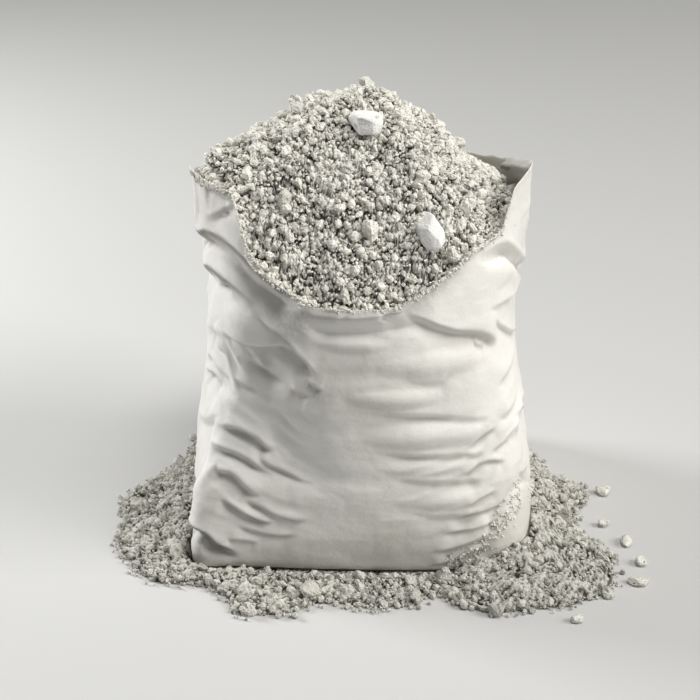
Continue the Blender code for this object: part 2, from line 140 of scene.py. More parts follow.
def noise(points: Array, cell: float, seed: int) -> Array:
    """Smooth noise from -1 to 1.

    Args:
        points: places, with three numbers in the last axis.
        cell: size of the noise's lumps, in metres.
        seed: which noise to read.

    Returns:
        One number for each place.
    """
    scaled = np.asarray(points, float) / cell
    base = np.floor(scaled).astype(np.int64)
    part = scaled - base
    weight = part**3 * (part * (part * 6.0 - 15.0) + 10.0)
    total = np.zeros(scaled.shape[:-1])
    for corner in np.ndindex(2, 2, 2):
        share = np.prod(np.where(np.array(corner) == 1, weight, 1.0 - weight), axis=-1)
        total += share * cell_noise(base + np.array(corner), seed)
    return total * 2.0 - 1.0


def layered_noise(points: Array, cell: float, layers: int, seed: int) -> Array:
    """Noise with finer, fainter layers over it, from about -1 to 1."""
    total = sum(noise(points, cell / 2.0**k, seed + 17 * k) / 2.0**k for k in range(layers))
    return total / (2.0 - 2.0 ** (1 - layers))


def flat_sheet(name: str, columns: int, rows: int) -> tuple[Piece, Array]:
    """Adds a flat sheet of quads to be shaped, and gives its vertex numbers by row and column."""
    bpy.ops.object.select_all(action="DESELECT")
    bpy.ops.mesh.primitive_grid_add(x_subdivisions=columns, y_subdivisions=rows, size=2.0)
    sheet = bpy.context.active_object
    sheet.name = sheet.data.name = name
    flat = places_of(sheet)
    order = np.lexsort((flat[:, 0].round(5), flat[:, 1].round(5)))
    return sheet, order.reshape(rows + 1, columns + 1)


def places_of(piece: Piece) -> Array:
    """A piece's vertices as rows of x, y, z."""
    flat = np.empty(len(piece.data.vertices) * 3, np.float32)
    piece.data.vertices.foreach_get("co", flat)
    return flat.reshape(-1, 3).astype(float)


def set_places(piece: Piece, places: Array) -> None:
    """Moves a piece's vertices to rows of x, y, z."""
    piece.data.vertices.foreach_set("co", np.asarray(places, np.float32).ravel())
    piece.data.update()


def paint(piece: Piece, name: str, values: Array) -> None:
    """Writes one number for each vertex, for the material to read."""
    layer = piece.data.attributes.new(name, "FLOAT", "POINT")
    layer.data.foreach_set("value", np.asarray(values, np.float32).ravel())


def take_up(piece: Piece) -> None:
    """Selects one piece alone and makes it the active one."""
    bpy.ops.object.select_all(action="DESELECT")
    piece.select_set(True)
    bpy.context.view_layer.objects.active = piece


def edit(piece: Piece, *steps: Callable[[], object]) -> None:
    """Runs modelling operators on one piece in edit mode, with everything deselected before and after."""
    take_up(piece)
    bpy.ops.object.mode_set(mode="EDIT")
    bpy.ops.mesh.select_all(action="DESELECT")
    for step in steps:
        step()
    bpy.ops.mesh.select_all(action="DESELECT")
    bpy.ops.object.mode_set(mode="OBJECT")


def apply_modifiers(piece: Piece) -> None:
    """Makes a piece's modifiers part of its mesh."""
    take_up(piece)
    for step in list(piece.modifiers):
        bpy.ops.object.modifier_apply(modifier=step.name)


def settle(piece: Piece, slot: str, finish: Finish, *nodes: str, smooth: bool = True) -> None:
    """Dresses a finished piece and joins it to the frame.

    Args:
        piece: the finished piece.
        slot: not used.
        finish: its material.
        nodes: the frame's nodes that it stands for.
        smooth: whether its faces are shaded as one smooth surface.
    """
    piece.data.materials.clear()
    piece.data.materials.append(finish)
    if smooth:
        piece.data.shade_smooth()
    else:
        piece.data.shade_flat()
    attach(piece, BODY)
    if nodes:
        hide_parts(*nodes)
    LOG.info("%s: %d faces", piece.name, len(piece.data.polygons))


@dataclass(frozen=True)
class PhotoCamera:
    """The camera that saw the sack, level with the room and looking down at it.

    Its focal length and the places read from its picture are in that picture's pixels.
    """

    elevation: float = 28.0
    distance: float = 1.7
    target: Triple = (-0.0095, 0.0, 0.175)
    focal_pixels: float = 1663.0
    frame_pixels: float = 700.0
    sensor_mm: float = 36.0

    def axes(self) -> tuple[Array, Array, Array]:
        """The camera's directions to the right, up and forward."""
        lean = math.radians(self.elevation)
        up = np.array((0.0, math.sin(lean), math.cos(lean)))
        forward = np.array((0.0, math.cos(lean), -math.sin(lean)))
        return np.array((1.0, 0.0, 0.0)), up, forward

    def place(self) -> Array:
        """Where the camera stands."""
        return np.array(self.target) - self.axes()[2] * self.distance

    def pixels(self, points: Array) -> Array:
        """Where points of the frame show in the picture, x to the right and y down."""
        right, up, forward = self.axes()
        seen = np.asarray(points) - self.place()
        depth = seen @ forward
        half = self.frame_pixels / 2.0
        across = half + self.focal_pixels * (seen @ right) / depth
        down = half - self.focal_pixels * (seen @ up) / depth
        return np.stack((across, down), axis=-1)

    def metres_per_pixel(self) -> float:
        """What one pixel of the picture spans at the sack."""
        return self.distance / self.focal_pixels

    def build(self) -> Piece:
        """Adds the camera and makes it the scene's own."""
        turn = (math.radians(90.0 - self.elevation), 0.0, 0.0)
        bpy.ops.object.camera_add(location=tuple(self.place()), rotation=turn)
        camera = bpy.context.active_object
        camera.name = "photo_camera"
        camera.data.sensor_width = self.sensor_mm
        camera.data.lens = self.focal_pixels / self.frame_pixels * self.sensor_mm
        bpy.context.scene.camera = camera
        return camera


@dataclass(frozen=True)
class Softbox:
    """One soft studio light: its name, place, width, power and colour."""

    name: str
    place: Triple
    width: float
    power: float
    colour: Triple

    def build(self, target: Vector) -> None:
        """Adds the light, turned to face the target."""
        turn = (target - Vector(self.place)).to_track_quat("-Z", "Y").to_euler()
        bpy.ops.object.light_add(type="AREA", location=self.place, rotation=turn)
        light = bpy.context.active_object
        light.name = self.name
        light.data.shape = "SQUARE"
        light.data.size = self.width
        light.data.energy = self.power
        light.data.color = self.colour


@dataclass(frozen=True)
class Studio:
    """A plain pale floor and soft lights: a key from the right, one overhead, a fill and an edge light."""

    floor_width: float = 14.0
    floor_colour: Triple = (0.56, 0.56, 0.55)
    floor_roughness: float = 0.85
    floor_height: float = -0.0004
    aim: Triple = (0.0, 0.0, 0.2)
    air_colour: Triple = (0.93, 0.96, 1.0)
    air_strength: float = 0.05
    softboxes: tuple[Softbox, ...] = (
        Softbox("key_light", (4.8, -1.45, 3.3), 2.8, 280.0, (1.0, 0.985, 0.955)),
        Softbox("top_light", (0.5, -0.70, 3.3), 1.2, 58.0, (1.0, 0.99, 0.97)),
        Softbox("fill_light", (-0.6, -2.4, 1.0), 1.4, 1.0, (0.97, 0.985, 1.0)),
        Softbox("edge_light", (-1.85, 0.76, 0.95), 0.6, 40.0, (1.0, 1.0, 1.0)),
    )

    def build(self) -> None:
        """Adds the floor, the lights and the air's own light."""
        bpy.ops.mesh.primitive_plane_add(size=self.floor_width, location=(0.0, 0.0, self.floor_height))
        floor = bpy.context.active_object
        floor.name = "studio_floor"
        nodes = NodeBook("studio_floor")
        nodes.surface(self.floor_colour, {"Roughness": self.floor_roughness})
        floor.data.materials.append(nodes.material)
        for softbox in self.softboxes:
            softbox.build(Vector(self.aim))
        air = bpy.data.worlds.new("studio_air")
        air.use_nodes = True
        background = air.node_tree.nodes["Background"]
        background.inputs["Color"].default_value = (*self.air_colour, 1.0)
        background.inputs["Strength"].default_value = self.air_strength
        bpy.context.scene.world = air
        bpy.context.scene.view_settings.view_transform = "Standard"


@dataclass(frozen=True)
class Mottle:
    """A pattern of patches or specks: how many in a metre, its finer layers, and the stretch of it in use."""

    per_metre: float
    detail: float
    low: float
    high: float


@dataclass(frozen=True)
class Relief:
    """A fine relief: lumps in a metre, finer layers, depth in metres, and closeness by axis."""

    per_metre: float
    detail: float
    depth: float
    closeness: Triple = (1.0, 1.0, 1.0)


class NodeBook:
    """A material under construction, with short names for the nodes that the finishes use."""

    ROUGHNESS_OF_NOISE = 0.6
    MIX_COLOURS = (6, 7)
    MIX_RESULT = 2

    def __init__(self, name: str) -> None:
        """Starts a material with a Principled surface."""
        self.material = bpy.data.materials.new(name)
        self.material.use_nodes = True
        self.tree = self.material.node_tree
        self.principled = self.tree.nodes["Principled BSDF"]
        self.place = self.tree.nodes.new("ShaderNodeTexCoord").outputs["Object"]

    def plug(self, node: bpy.types.Node, plugs: Plugs) -> None:
        """Joins a node's inputs to sockets, or sets them to numbers and colours."""
        for name, plug in plugs.items():
            if isinstance(plug, Socket):
                self.tree.links.new(plug, node.inputs[name])
            else:
                node.inputs[name].default_value = plug

    def add(self, kind: str, plugs: Plugs, **settings: str) -> bpy.types.Node:
        """Adds a node of one kind with its settings and inputs."""
        node = self.tree.nodes.new("ShaderNode" + kind)
        for name, setting in settings.items():
            setattr(node, name, setting)
        self.plug(node, plugs)
        return node

    def surface(self, colour: Triple, values: Plugs) -> None:
        """Sets the surface's plain colour, its roughness and the like."""
        self.plug(self.principled, {"Base Color": (*colour, 1.0), **values})

    def grain(self, per_metre: float, detail: float, closeness: Triple = (1.0, 1.0, 1.0)) -> Socket:
        """Noise on Object coordinates, from 0 to 1, with its lumps closer together by axis."""
        squeezed = self.add("Mapping", {"Vector": self.place, "Scale": closeness}).outputs["Vector"]
        plugs = {"Scale": per_metre, "Detail": detail, "Roughness": self.ROUGHNESS_OF_NOISE}
        return self.add("TexNoise", {"Vector": squeezed, **plugs}).outputs["Fac"]

    def mottle(self, pattern: Mottle) -> Socket:
        """A pattern's share, from 0 to 1."""
        return self.spread(self.grain(pattern.per_metre, pattern.detail), pattern.low, pattern.high)

    def relief(self, form: Relief, under: Socket | None = None) -> Socket:
        """A relief as a bump, over another bump if one is given."""
        return self.bump(self.grain(form.per_metre, form.detail, form.closeness), form.depth, under)

    def cells(self, per_metre: float, edges: bool = False) -> Socket:
        """Voronoi cells on Object coordinates: the distance to each cell's middle, or to its edge."""
        feature = "DISTANCE_TO_EDGE" if edges else "F1"
        plugs = {"Vector": self.place, "Scale": per_metre}
        return self.add("TexVoronoi", plugs, feature=feature).outputs["Distance"]

    def painted(self, name: str) -> Socket:
        """The numbers painted on the vertices under a name."""
        return self.add("Attribute", {}, attribute_name=name).outputs["Fac"]

    def spread(self, source: Socket, low: float, high: float) -> Socket:
        """Spreads the stretch from low to high of a factor over 0 to 1."""
        plugs = {"Value": source, "From Min": low, "From Max": high}
        return self.add("MapRange", plugs).outputs["Result"]

    def times(self, source: Socket, other: Socket | float) -> Socket:
        """The product of a factor and another factor or number."""
        return self.add("Math", {0: source, 1: other}, operation="MULTIPLY").outputs["Value"]

    def blend(self, share: Socket, low: Triple | Socket, high: Triple | Socket) -> Socket:
        """Mixes two colours by a share."""
        colours = [c if isinstance(c, Socket) else (*c, 1.0) for c in (low, high)]
        plugs = {"Factor": share, **dict(zip(self.MIX_COLOURS, colours))}
        return self.add("Mix", plugs, data_type="RGBA").outputs[self.MIX_RESULT]

    def bump(self, height: Socket, depth: float, under: Socket | None = None) -> Socket:
        """Raises the surface by a factor, to a depth in metres, over another bump if one is given."""
        plugs = {"Height": height, "Distance": depth}
        if under is not None:
            plugs["Normal"] = under
        return self.add("Bump", plugs).outputs["Normal"]

    def dress(self, colour: Socket, normal: Socket) -> Finish:
        """Joins the colour and the bump to the surface, and gives the finished material."""
        self.plug(self.principled, {"Base Color": colour, "Normal": normal})
        return self.material


@dataclass(frozen=True)
class PaperFinish:
    """Plain off-white sack paper: fibrous and a little mottled, with shade painted into its folds."""

    sheet: Triple = (0.79, 0.775, 0.735)
    worn: Triple = (0.70, 0.68, 0.63)
    dust: Triple = (0.50, 0.485, 0.44)
    crease_shade_colour: Triple = (0.13, 0.12, 0.10)
    roughness: float = 0.62
    specular: float = 0.35
    sheen: float = 0.08
    wear: Mottle = Mottle(9.0, 5.0, 0.42, 0.70)
    specks: Mottle = Mottle(420.0, 2.0, 0.66, 0.74)
    speck_patches: Mottle = Mottle(26.0, 4.0, 0.45, 0.65)
    speck_share: float = 0.45
    dusting: Mottle = Mottle(260.0, 4.0, 0.3, 0.7)
    crease_shade_share: float = 0.80
    fibres: Relief = Relief(900.0, 4.0, 0.00014)
    crinkles: Relief = Relief(170.0, 3.0, 0.0004, (0.45, 0.45, 1.0))
    waves: Relief = Relief(60.0, 3.0, 0.0007)

    def material(self) -> Finish:
        """Builds the paper's material."""
        book = NodeBook("sack_paper")
        values = {"Specular IOR Level": self.specular, "Sheen Weight": self.sheen}
        book.surface(self.sheet, {"Roughness": self.roughness, **values})
        colour = book.blend(book.mottle(self.wear), self.sheet, self.worn)
        specks = book.times(book.mottle(self.specks), book.mottle(self.speck_patches))
        colour = book.blend(book.times(specks, self.speck_share), colour, self.dust)
        dusted = book.times(book.painted("dust"), book.mottle(self.dusting))
        colour = book.blend(dusted, colour, self.dust)
        # Painted shade: the paper goes towards near-black where it is sunk in its folds and under their lips
        colour = book.blend(book.times(book.painted("crease_shade"), self.crease_shade_share), colour, self.crease_shade_colour)
        fibres = book.relief(self.fibres)
        crinkles = book.relief(self.crinkles, fibres)
        return book.dress(colour, book.relief(self.waves, crinkles))


class CementTone(Enum):
    """The two colours that the cement comes in: its pale side and its shadowed side."""

    GREY = ((0.92, 0.90, 0.825), (0.050, 0.045, 0.034))
    PALE = ((0.88, 0.875, 0.85), (0.50, 0.49, 0.45))


@dataclass(frozen=True)
class CementFinish:
    """Dry cement: chalky and mottled from lump to lump, with shade painted between the lumps."""

    name: str
    tone: CementTone
    grit: float = 0.0006
    gap_shade_and_specks: float = 0.30
    roughness: float = 0.95
    specular: float = 0.15
    lumps_per_metre: float = 430.0
    lump_depth: float = 1.6
    gap_width: float = 0.13
    gap_shade_patches: Mottle = Mottle(170.0, 2.0, 0.42, 0.62)
    specks: Mottle = Mottle(1400.0, 3.0, 0.42, 0.80)
    speck_share: float = 0.5
    grit_per_metre: float = 1100.0
    grit_detail: float = 5.0

    def material(self) -> Finish:
        """Builds the cement's material."""
        pale, deep = self.tone.value
        book = NodeBook(self.name)
        book.surface(pale, {"Roughness": self.roughness, "Specular IOR Level": self.specular})
        colour = book.blend(book.painted("tone"), pale, deep)
        # Painted shade: the edges of small cells, the gaps between lumps, go dark in patches
        shaded_gaps = book.spread(book.cells(self.lumps_per_metre, edges=True), self.gap_width, 0.0)
        shaded_gaps = book.times(shaded_gaps, book.mottle(self.gap_shade_patches))
        colour = book.blend(book.times(shaded_gaps, self.gap_shade_and_specks), colour, deep)
        specks = book.times(book.mottle(self.specks), self.gap_shade_and_specks * self.speck_share)
        colour = book.blend(specks, colour, deep)
        grit = book.relief(Relief(self.grit_per_metre, self.grit_detail, self.grit))
        lumps = book.bump(book.cells(self.lumps_per_metre), -self.grit * self.lump_depth, grit)
        return book.dress(colour, lumps)


class Surface:
    """The faces of one node of the frame, to read its heights and widths from."""

    def __init__(self, node: str) -> None:
        """Gathers the node's faces at rest."""
        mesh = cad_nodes[node].data
        self.low, self.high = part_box(node)
        self.tree = BVHTree.FromPolygons([v.co for v in mesh.vertices], [p.vertices for p in mesh.polygons])

    def top(self, x: float, y: float) -> float | None:
        """The height of the node's top over a point, or None beside it."""
        hit = self.tree.ray_cast(Vector((x, y, self.high.z + 0.1)), Vector((0.0, 0.0, -1.0)))
        return None if hit[0] is None else hit[0].z

    def reach(self, turn: float, height: float) -> float:
        """How far the node reaches from the middle axis, in one direction at one height."""
        away = Vector((math.cos(turn), math.sin(turn), 0.0))
        hit = self.tree.ray_cast(away + Vector((0.0, 0.0, height)), -away)
        return 0.0 if hit[0] is None else hit[0].xy.length


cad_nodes: dict[str, Piece] = {}


@dataclass(frozen=True)
class Profile:
    """A fold's cross-section: its lip's height, its valley's drop, and the run between the two, in metres.

    Above the lip and below the valley, the paper evens out over the lengths of those names. A lip that slides
    down over its valley overhangs it. The painted shade is how much shade is painted on the paper under the
    lip.
    """

    lip: float
    drop: float
    run: float
    above: float
    below: float
    slide: float = 0.0
    painted_shade: float = 0.0


class FoldShape(Enum):
    """The kinds of fold that the paper takes."""

    OVERHANG = Profile(0.0052, 0.0092, 0.0215, 0.022, 0.008, 0.0016, 1.40)
    POCKET = Profile(0.0032, 0.0090, 0.0125, 0.010, 0.004, 0.0005, 2.60)
    FLAP = Profile(0.0040, 0.0056, 0.0105, 0.028, 0.013, 0.0004, 0.25)
    CREASE = Profile(0.0028, 0.0048, 0.0076, 0.0060, 0.010, 0.0, 0.62)
    KNIFE = Profile(0.0020, 0.0036, 0.0052, 0.0042, 0.008, 0.0, 0.70)
    FAINT = Profile(0.0011, 0.0021, 0.0040, 0.0045, 0.007, 0.0, 0.30)
    SOFT = Profile(0.0018, 0.0028, 0.0085, 0.011, 0.011)
    BAND = Profile(0.0010, 0.0056, 0.0170, 0.004, 0.006, 0.0, 0.12)
    VALLEY = Profile(0.0012, 0.0090, 0.0160, 0.004, 0.005, 0.0, 0.30)
    STEP = Profile(0.0050, 0.0000, 0.0300, 0.006, 0.010)
    SEAM = Profile(0.0000, 0.0040, 0.0070, 0.006, 0.010)
    KEEL = Profile(0.0000, 0.0125, 0.0620, 0.010, 0.060)
    CORNER = Profile(0.0000, 0.0065, 0.0170, 0.010, 0.030)


@dataclass(frozen=True)
class Fold:
    """A fold in the paper along a line that runs to the right, its lip above the line and its valley below.

    The path is in picture pixels. It is carried on past its ends by the steps before and after it, in metres.
    The fade is the share of its length over which it grows at its start and dies away at its end.
    """

    shape: FoldShape
    path: tuple[Pair, ...]
    depth: float = 1.0
    fade: Pair = (0.22, 0.22)
    before: Pair | None = None
    after: Pair | None = None
    thinnest: float = 0.3
    slide_reach: float = 0.6
    shade_start: float = 0.0005
    shade_fade: float = 0.0035

    def line(self, to_sheet: SheetRule) -> Array:
        """The fold's path on the sheet, as close points along a smooth curve."""
        points = list(to_sheet(np.array(self.path, float)))
        if self.before:
            points.insert(0, points[0] + np.array(self.before))
        if self.after:
            points.append(points[-1] + np.array(self.after))
        return smooth_line(np.array(points))

    def press(self, sheet: Array, line: Array) -> tuple[Array, Array, Array]:
        """How the fold moves the paper, and the shade painted in it.

        Args:
            sheet: places on the sheet, across and up.
            line: close points along the fold.

        Returns:
            How far each place moves outwards, how far it slides down, and how much shade is painted on it.
        """
        form = self.shape.value
        side, along = beside(sheet, line)
        strength = eased(along / self.fade[0]) * inside(along, 1.0, self.fade[1])
        taper = self.thinnest + (1.0 - self.thinnest) * np.sqrt(strength)
        run = form.run * taper
        upper = form.lip * np.exp(-np.maximum(side, 0.0) / (form.above * taper))
        lower = -form.drop * np.exp(-np.maximum(-side - run, 0.0) / (form.below * taper))
        fall = np.clip(-side / run, 0.0, 1.0)
        between = form.lip - (form.drop + form.lip) * fall * fall * (3.0 - 2.0 * fall)
        out = np.where(side >= 0.0, upper, np.where(fall < 1.0, between, lower))
        slid = form.slide * np.where(side >= 0.0, np.exp(-side / (form.above * self.slide_reach)), 1.0 - fall)
        # Painted shade under the lip, darkest just below it and gone by the end of the fall
        fold_shade = form.painted_shade * inside(side, self.shade_start, self.shade_fade) * (1.0 - fall)
        return out * strength * self.depth, slid * strength * self.depth, fold_shade * strength


def patch_on_sheet(middle: Pair, half: Pair, to_sheet: SheetRule) -> tuple[Array, Array]:
    """Finds on the sheet a patch whose middle and half sizes are known in picture pixels."""
    x, y = middle
    spot, right, top = to_sheet(np.array((middle, (x + half[0], y), (x, y - half[1])), float))
    return spot, np.array((right[0] - spot[0], top[1] - spot[1]))


@dataclass(frozen=True)
class Swell:
    """A broad soft bulge in the paper: middle and half sizes in picture pixels, and lift in metres."""

    middle: Pair
    half: Pair
    lift: float
    roundness: float = 1.5

    def press(self, sheet: Array, to_sheet: SheetRule) -> Array:
        """How far the bulge moves each place of the sheet outwards."""
        middle, half = patch_on_sheet(self.middle, self.half, to_sheet)
        away = (sheet - middle) / half
        return self.lift * np.maximum(1.0 - np.sum(away * away, axis=1), 0.0) ** self.roundness


@dataclass(frozen=True)
class Ripples:
    """A patch of slack paper whose small folds all run roughly one way.

    The patch's middle and half sizes are in picture pixels, and the lean is in degrees, rising to the right.
    The pitch is a fold's length and width, and the lift its height, in metres. Sharp folds are ridges between
    flat facets, and soft ones are waves. The waver is how far the folds stray, as a share of their width, and
    how often, as a share of their length.
    """

    middle: Pair
    half: Pair
    lean: float
    pitch: Pair
    lift: float
    sharpness: float
    seed: int
    waver: Pair = (0.5, 0.6)
    ridge_top: float = 0.5
    ridge_fall: float = 1.6
    edge: float = 0.45

    def press(self, sheet: Array, to_sheet: SheetRule) -> Array:
        """How far the folds move each place of the sheet outwards."""
        middle, half = patch_on_sheet(self.middle, self.half, to_sheet)
        away = sheet - middle
        length, width = self.pitch
        lean = math.radians(self.lean)
        along = away @ np.array((math.cos(lean), math.sin(lean)))
        aside = away @ np.array((-math.sin(lean), math.cos(lean)))
        level = np.column_stack((away, along * 0.0))
        aside = aside + self.waver[0] * width * noise(level, length * self.waver[1], self.seed + 1)
        folded = noise(np.column_stack((along / length, aside / width, along * 0.0)), 1.0, self.seed)
        ridged = self.ridge_top - self.ridge_fall * np.abs(folded)
        mixed = (1.0 - self.sharpness) * folded + self.sharpness * ridged
        return self.lift * mixed * inside(np.hypot(*(away / half).T), 1.0, self.edge)


def smooth_line(points: Array, per_span: int = 6) -> Array:
    """Close points along a smooth curve through a few."""
    if len(points) < 3:
        return points
    run = np.concatenate(([0.0], np.cumsum(np.linalg.norm(np.diff(points, axis=0), axis=1))))
    run += np.arange(len(run)) * STATION_STEP
    at = np.linspace(0.0, run[-1], (len(points) - 1) * per_span + 1)
    return np.stack([curve_through(run, points[:, k], at) for k in range(points.shape[1])], axis=-1)


def beside(places: Array, line: Array) -> tuple[Array, Array]:
    """Places beside a line that never turns far from its chord.

    Args:
        places: rows of two numbers.
        line: close points along the line.

    Returns:
        Each place's distance from the line, positive on its left, and its share of the way along the chord,
        below 0 before the line's start and above 1 past its end.
    """
    chord = line[-1] - line[0]
    length = math.hypot(*chord)
    ahead = chord / length
    left = np.array((-ahead[1], ahead[0]))
    run, rise = (line - line[0]) @ ahead, (line - line[0]) @ left
    forward, aside = (places - line[0]) @ ahead, (places - line[0]) @ left
    middle = np.interp(forward, run, rise)
    slope = np.interp(forward, run, np.gradient(rise, run))
    return (aside - middle) / np.sqrt(1.0 + slope * slope), forward / length


FRONT_FOLDS: tuple[Fold, ...] = (
    # The left ear's two overhanging bands, and the soft folds in its face
    Fold(
        FoldShape.OVERHANG,
        (
            *((194, 219), (201, 220), (210, 226), (227, 235), (241, 247)),
            *((254, 260), (268, 271), (284, 282), (298, 294), (306, 303)),
        ),
        fade=(0.1, 0.1), before=(-0.10, 0.004),
    ),
    Fold(
        FoldShape.OVERHANG,
        (
            *((198, 255), (204, 257), (212, 263), (225, 273)),
            *((239, 286), (252, 299), (262, 309), (276, 321)),
        ),
        depth=0.85, fade=(0.1, 0.35), before=(-0.09, 0.004),
    ),
    Fold(FoldShape.KNIFE, ((205, 268), (211, 281), (219, 283), (231, 279)), depth=1.3),
    Fold(FoldShape.SOFT, ((203, 180), (216, 186), (232, 196)), depth=1.1),
    Fold(FoldShape.CREASE, ((206, 214), (220, 209), (231, 202), (239, 197)), depth=0.6, fade=(0.4, 0.2)),
    # The flap below the right ear, and the sunk band under the front rim
    Fold(
        FoldShape.FLAP,
        (
            *((402, 307), (412, 312), (426, 317), (443, 323)),
            *((457, 327), (471, 328), (481, 329), (490, 333), (499, 341)),
        ),
        fade=(0.30, 0.16),
    ),
    Fold(
        FoldShape.BAND,
        ((300, 312), (318, 318), (335, 319), (355, 319), (378, 317), (402, 314), (424, 318)),
        fade=(0.25, 0.25),
    ),
    Fold(FoldShape.FAINT, ((377, 320), (379, 316), (382, 311)), depth=1.0),
    Fold(FoldShape.KNIFE, ((476, 340), (482, 344), (488, 343)), depth=0.5),
    Fold(FoldShape.FAINT, ((493, 314), (499, 322), (506, 327), (516, 327)), depth=1.6),
    Fold(
        FoldShape.VALLEY,
        ((474, 256), (485, 249), (497, 242), (507, 240), (516, 246), (527, 256)),
        fade=(0.25, 0.12), after=(0.03, -0.006),
    ),
    Fold(
        FoldShape.STEP,
        ((470, 262), (485, 259), (500, 258), (514, 259), (526, 261)),
        depth=0.7, after=(0.06, 0.0),
    ),
    Fold(FoldShape.SOFT, ((486, 307), (498, 302), (507, 297), (513, 293)), depth=1.3, after=(0.08, 0.0)),
    # The keel down the front, left of which the paper falls away, and the left front corner
    Fold(
        FoldShape.KEEL,
        ((306, 318), (313, 345), (321, 380), (329, 410), (340, 440), (352, 472), (362, 500)),
        fade=(0.2, 0.4),
    ),
    Fold(FoldShape.CORNER, ((225, 312), (216, 335), (221, 364), (229, 384), (236, 406)), fade=(0.3, 0.3)),
    Fold(FoldShape.CORNER, ((212, 416), (207, 440), (203, 470), (200, 500), (197, 524)), depth=0.6),
    # Diagonal creases on the left half
    Fold(
        FoldShape.CREASE,
        ((255, 314), (271, 325), (287, 339), (297, 351), (309, 363), (317, 376)),
        depth=1.15, fade=(0.5, 0.2),
    ),
    Fold(
        FoldShape.KNIFE,
        ((223, 328), (230, 336), (242, 343), (254, 346), (268, 347), (279, 347), (291, 353), (302, 364)),
        depth=1.1, fade=(0.15, 0.5),
    ),
    Fold(FoldShape.CREASE, ((237, 357), (249, 363), (261, 371), (275, 379), (287, 387)), fade=(0.45, 0.35)),
    Fold(FoldShape.KNIFE, ((288, 389), (299, 393), (310, 396)), depth=0.6),
    Fold(FoldShape.FAINT, ((307, 380), (315, 385), (323, 389)), depth=1.5),
    Fold(FoldShape.KNIFE, ((227, 375), (237, 384), (247, 390), (259, 402)), depth=0.7, fade=(0.3, 0.5)),
    Fold(
        FoldShape.CREASE,
        ((210, 422), (228, 426), (242, 432), (254, 439), (264, 448), (275, 455)),
        depth=1.1, fade=(0.5, 0.2),
    ),
    Fold(
        FoldShape.CREASE,
        ((205, 437), (217, 446), (231, 452), (245, 459), (259, 469), (278, 479)),
        fade=(0.25, 0.35),
    ),
    Fold(
        FoldShape.KNIFE,
        ((256, 458), (266, 465), (278, 470), (290, 475), (304, 482), (322, 484)),
        depth=0.9, fade=(0.2, 0.5),
    ),
    Fold(
        FoldShape.CREASE,
        ((213, 461), (219, 469), (231, 473), (239, 479), (250, 488), (263, 496)),
        depth=1.1, fade=(0.25, 0.25),
    ),
    Fold(FoldShape.KNIFE, ((220, 497), (235, 505), (249, 513), (262, 519), (276, 522)), depth=1.3),
    Fold(FoldShape.KNIFE, ((244, 499), (261, 505), (275, 512), (292, 518), (308, 520)), depth=0.8),
    Fold(FoldShape.FAINT, ((235, 524), (259, 531), (275, 534), (298, 534)), depth=1.4),
    Fold(FoldShape.FAINT, ((226, 537), (242, 539), (259, 542)), depth=1.2),
    Fold(
        FoldShape.POCKET,
        ((192, 517), (199, 522), (208, 531), (218, 540), (228, 546), (242, 555)),
        fade=(0.15, 0.3),
    ),
    # Long low creases on the right half, each deepest near its right end
    Fold(FoldShape.SOFT, ((398, 379), (420, 379), (436, 378), (450, 374)), depth=0.6, fade=(0.6, 0.2)),
    Fold(FoldShape.SOFT, ((350, 409), (390, 411), (430, 413), (465, 415), (493, 413)), fade=(0.5, 0.12)),
    Fold(FoldShape.SOFT, ((372, 449), (405, 452), (440, 453), (486, 450)), depth=1.1, fade=(0.35, 0.1)),
    Fold(FoldShape.SOFT, ((385, 474), (415, 478), (450, 479), (484, 478)), depth=0.9, fade=(0.4, 0.12)),
    Fold(FoldShape.SOFT, ((400, 510), (430, 513), (455, 512), (482, 507)), depth=0.6, fade=(0.5, 0.2)),
    Fold(FoldShape.KNIFE, ((466, 449), (476, 440), (486, 432), (497, 425)), depth=0.55),
    Fold(FoldShape.KNIFE, ((492, 451), (501, 444), (512, 436)), depth=0.4),
    Fold(FoldShape.KNIFE, ((458, 478), (468, 471), (480, 462), (496, 459), (508, 459)), depth=0.8),
    Fold(FoldShape.KNIFE, ((464, 507), (475, 499), (485, 494), (497, 489)), depth=0.6),
    Fold(FoldShape.KNIFE, ((448, 521), (463, 515), (483, 511), (505, 503)), depth=0.6),
    Fold(FoldShape.FAINT, ((440, 533), (462, 530), (480, 526), (498, 520)), depth=1.4),
    Fold(FoldShape.CREASE, ((430, 552), (452, 547), (470, 541), (490, 532)), depth=0.7),
    Fold(FoldShape.KNIFE, ((425, 566), (450, 561), (470, 552), (490, 544)), depth=1.1),
    Fold(
        FoldShape.SEAM,
        ((531, 466), (524, 482), (514, 498), (505, 512), (498, 525), (491, 540)),
        fade=(0.2, 0.1),
    ),
)

FRONT_SWELLS: tuple[Swell, ...] = (
    Swell((352, 345), (42, 9), 0.0034),
    Swell((440, 363), (56, 15), 0.0040),
    Swell((396, 399), (52, 11), 0.0042),
    Swell((436, 434), (72, 16), 0.0060),
    Swell((430, 467), (54, 10), 0.0040),
    Swell((446, 500), (54, 12), 0.0034),
    Swell((240, 320), (26, 22), 0.0036),
)

FRONT_RIPPLES: tuple[Ripples, ...] = (
    Ripples((430, 440), (105, 130), 3.0, (0.075, 0.017), 0.0013, 0.2, 301),
    Ripples((480, 480), (60, 90), 24.0, (0.050, 0.012), 0.0016, 0.5, 311),
    Ripples((255, 400), (75, 90), -34.0, (0.060, 0.014), 0.0022, 0.7, 321),
    Ripples((265, 380), (80, 100), -30.0, (0.030, 0.0075), 0.0009, 0.7, 351),
    Ripples((250, 490), (90, 60), -24.0, (0.060, 0.013), 0.0015, 0.5, 331),
    Ripples((350, 350), (60, 60), -8.0, (0.040, 0.014), 0.0009, 0.3, 341),
)


class Ring(Enum):
    """The outlines that the sack passes through on its way up."""

    BOX = "box"
    SOFT = "soft"
    MOUTH = "mouth"


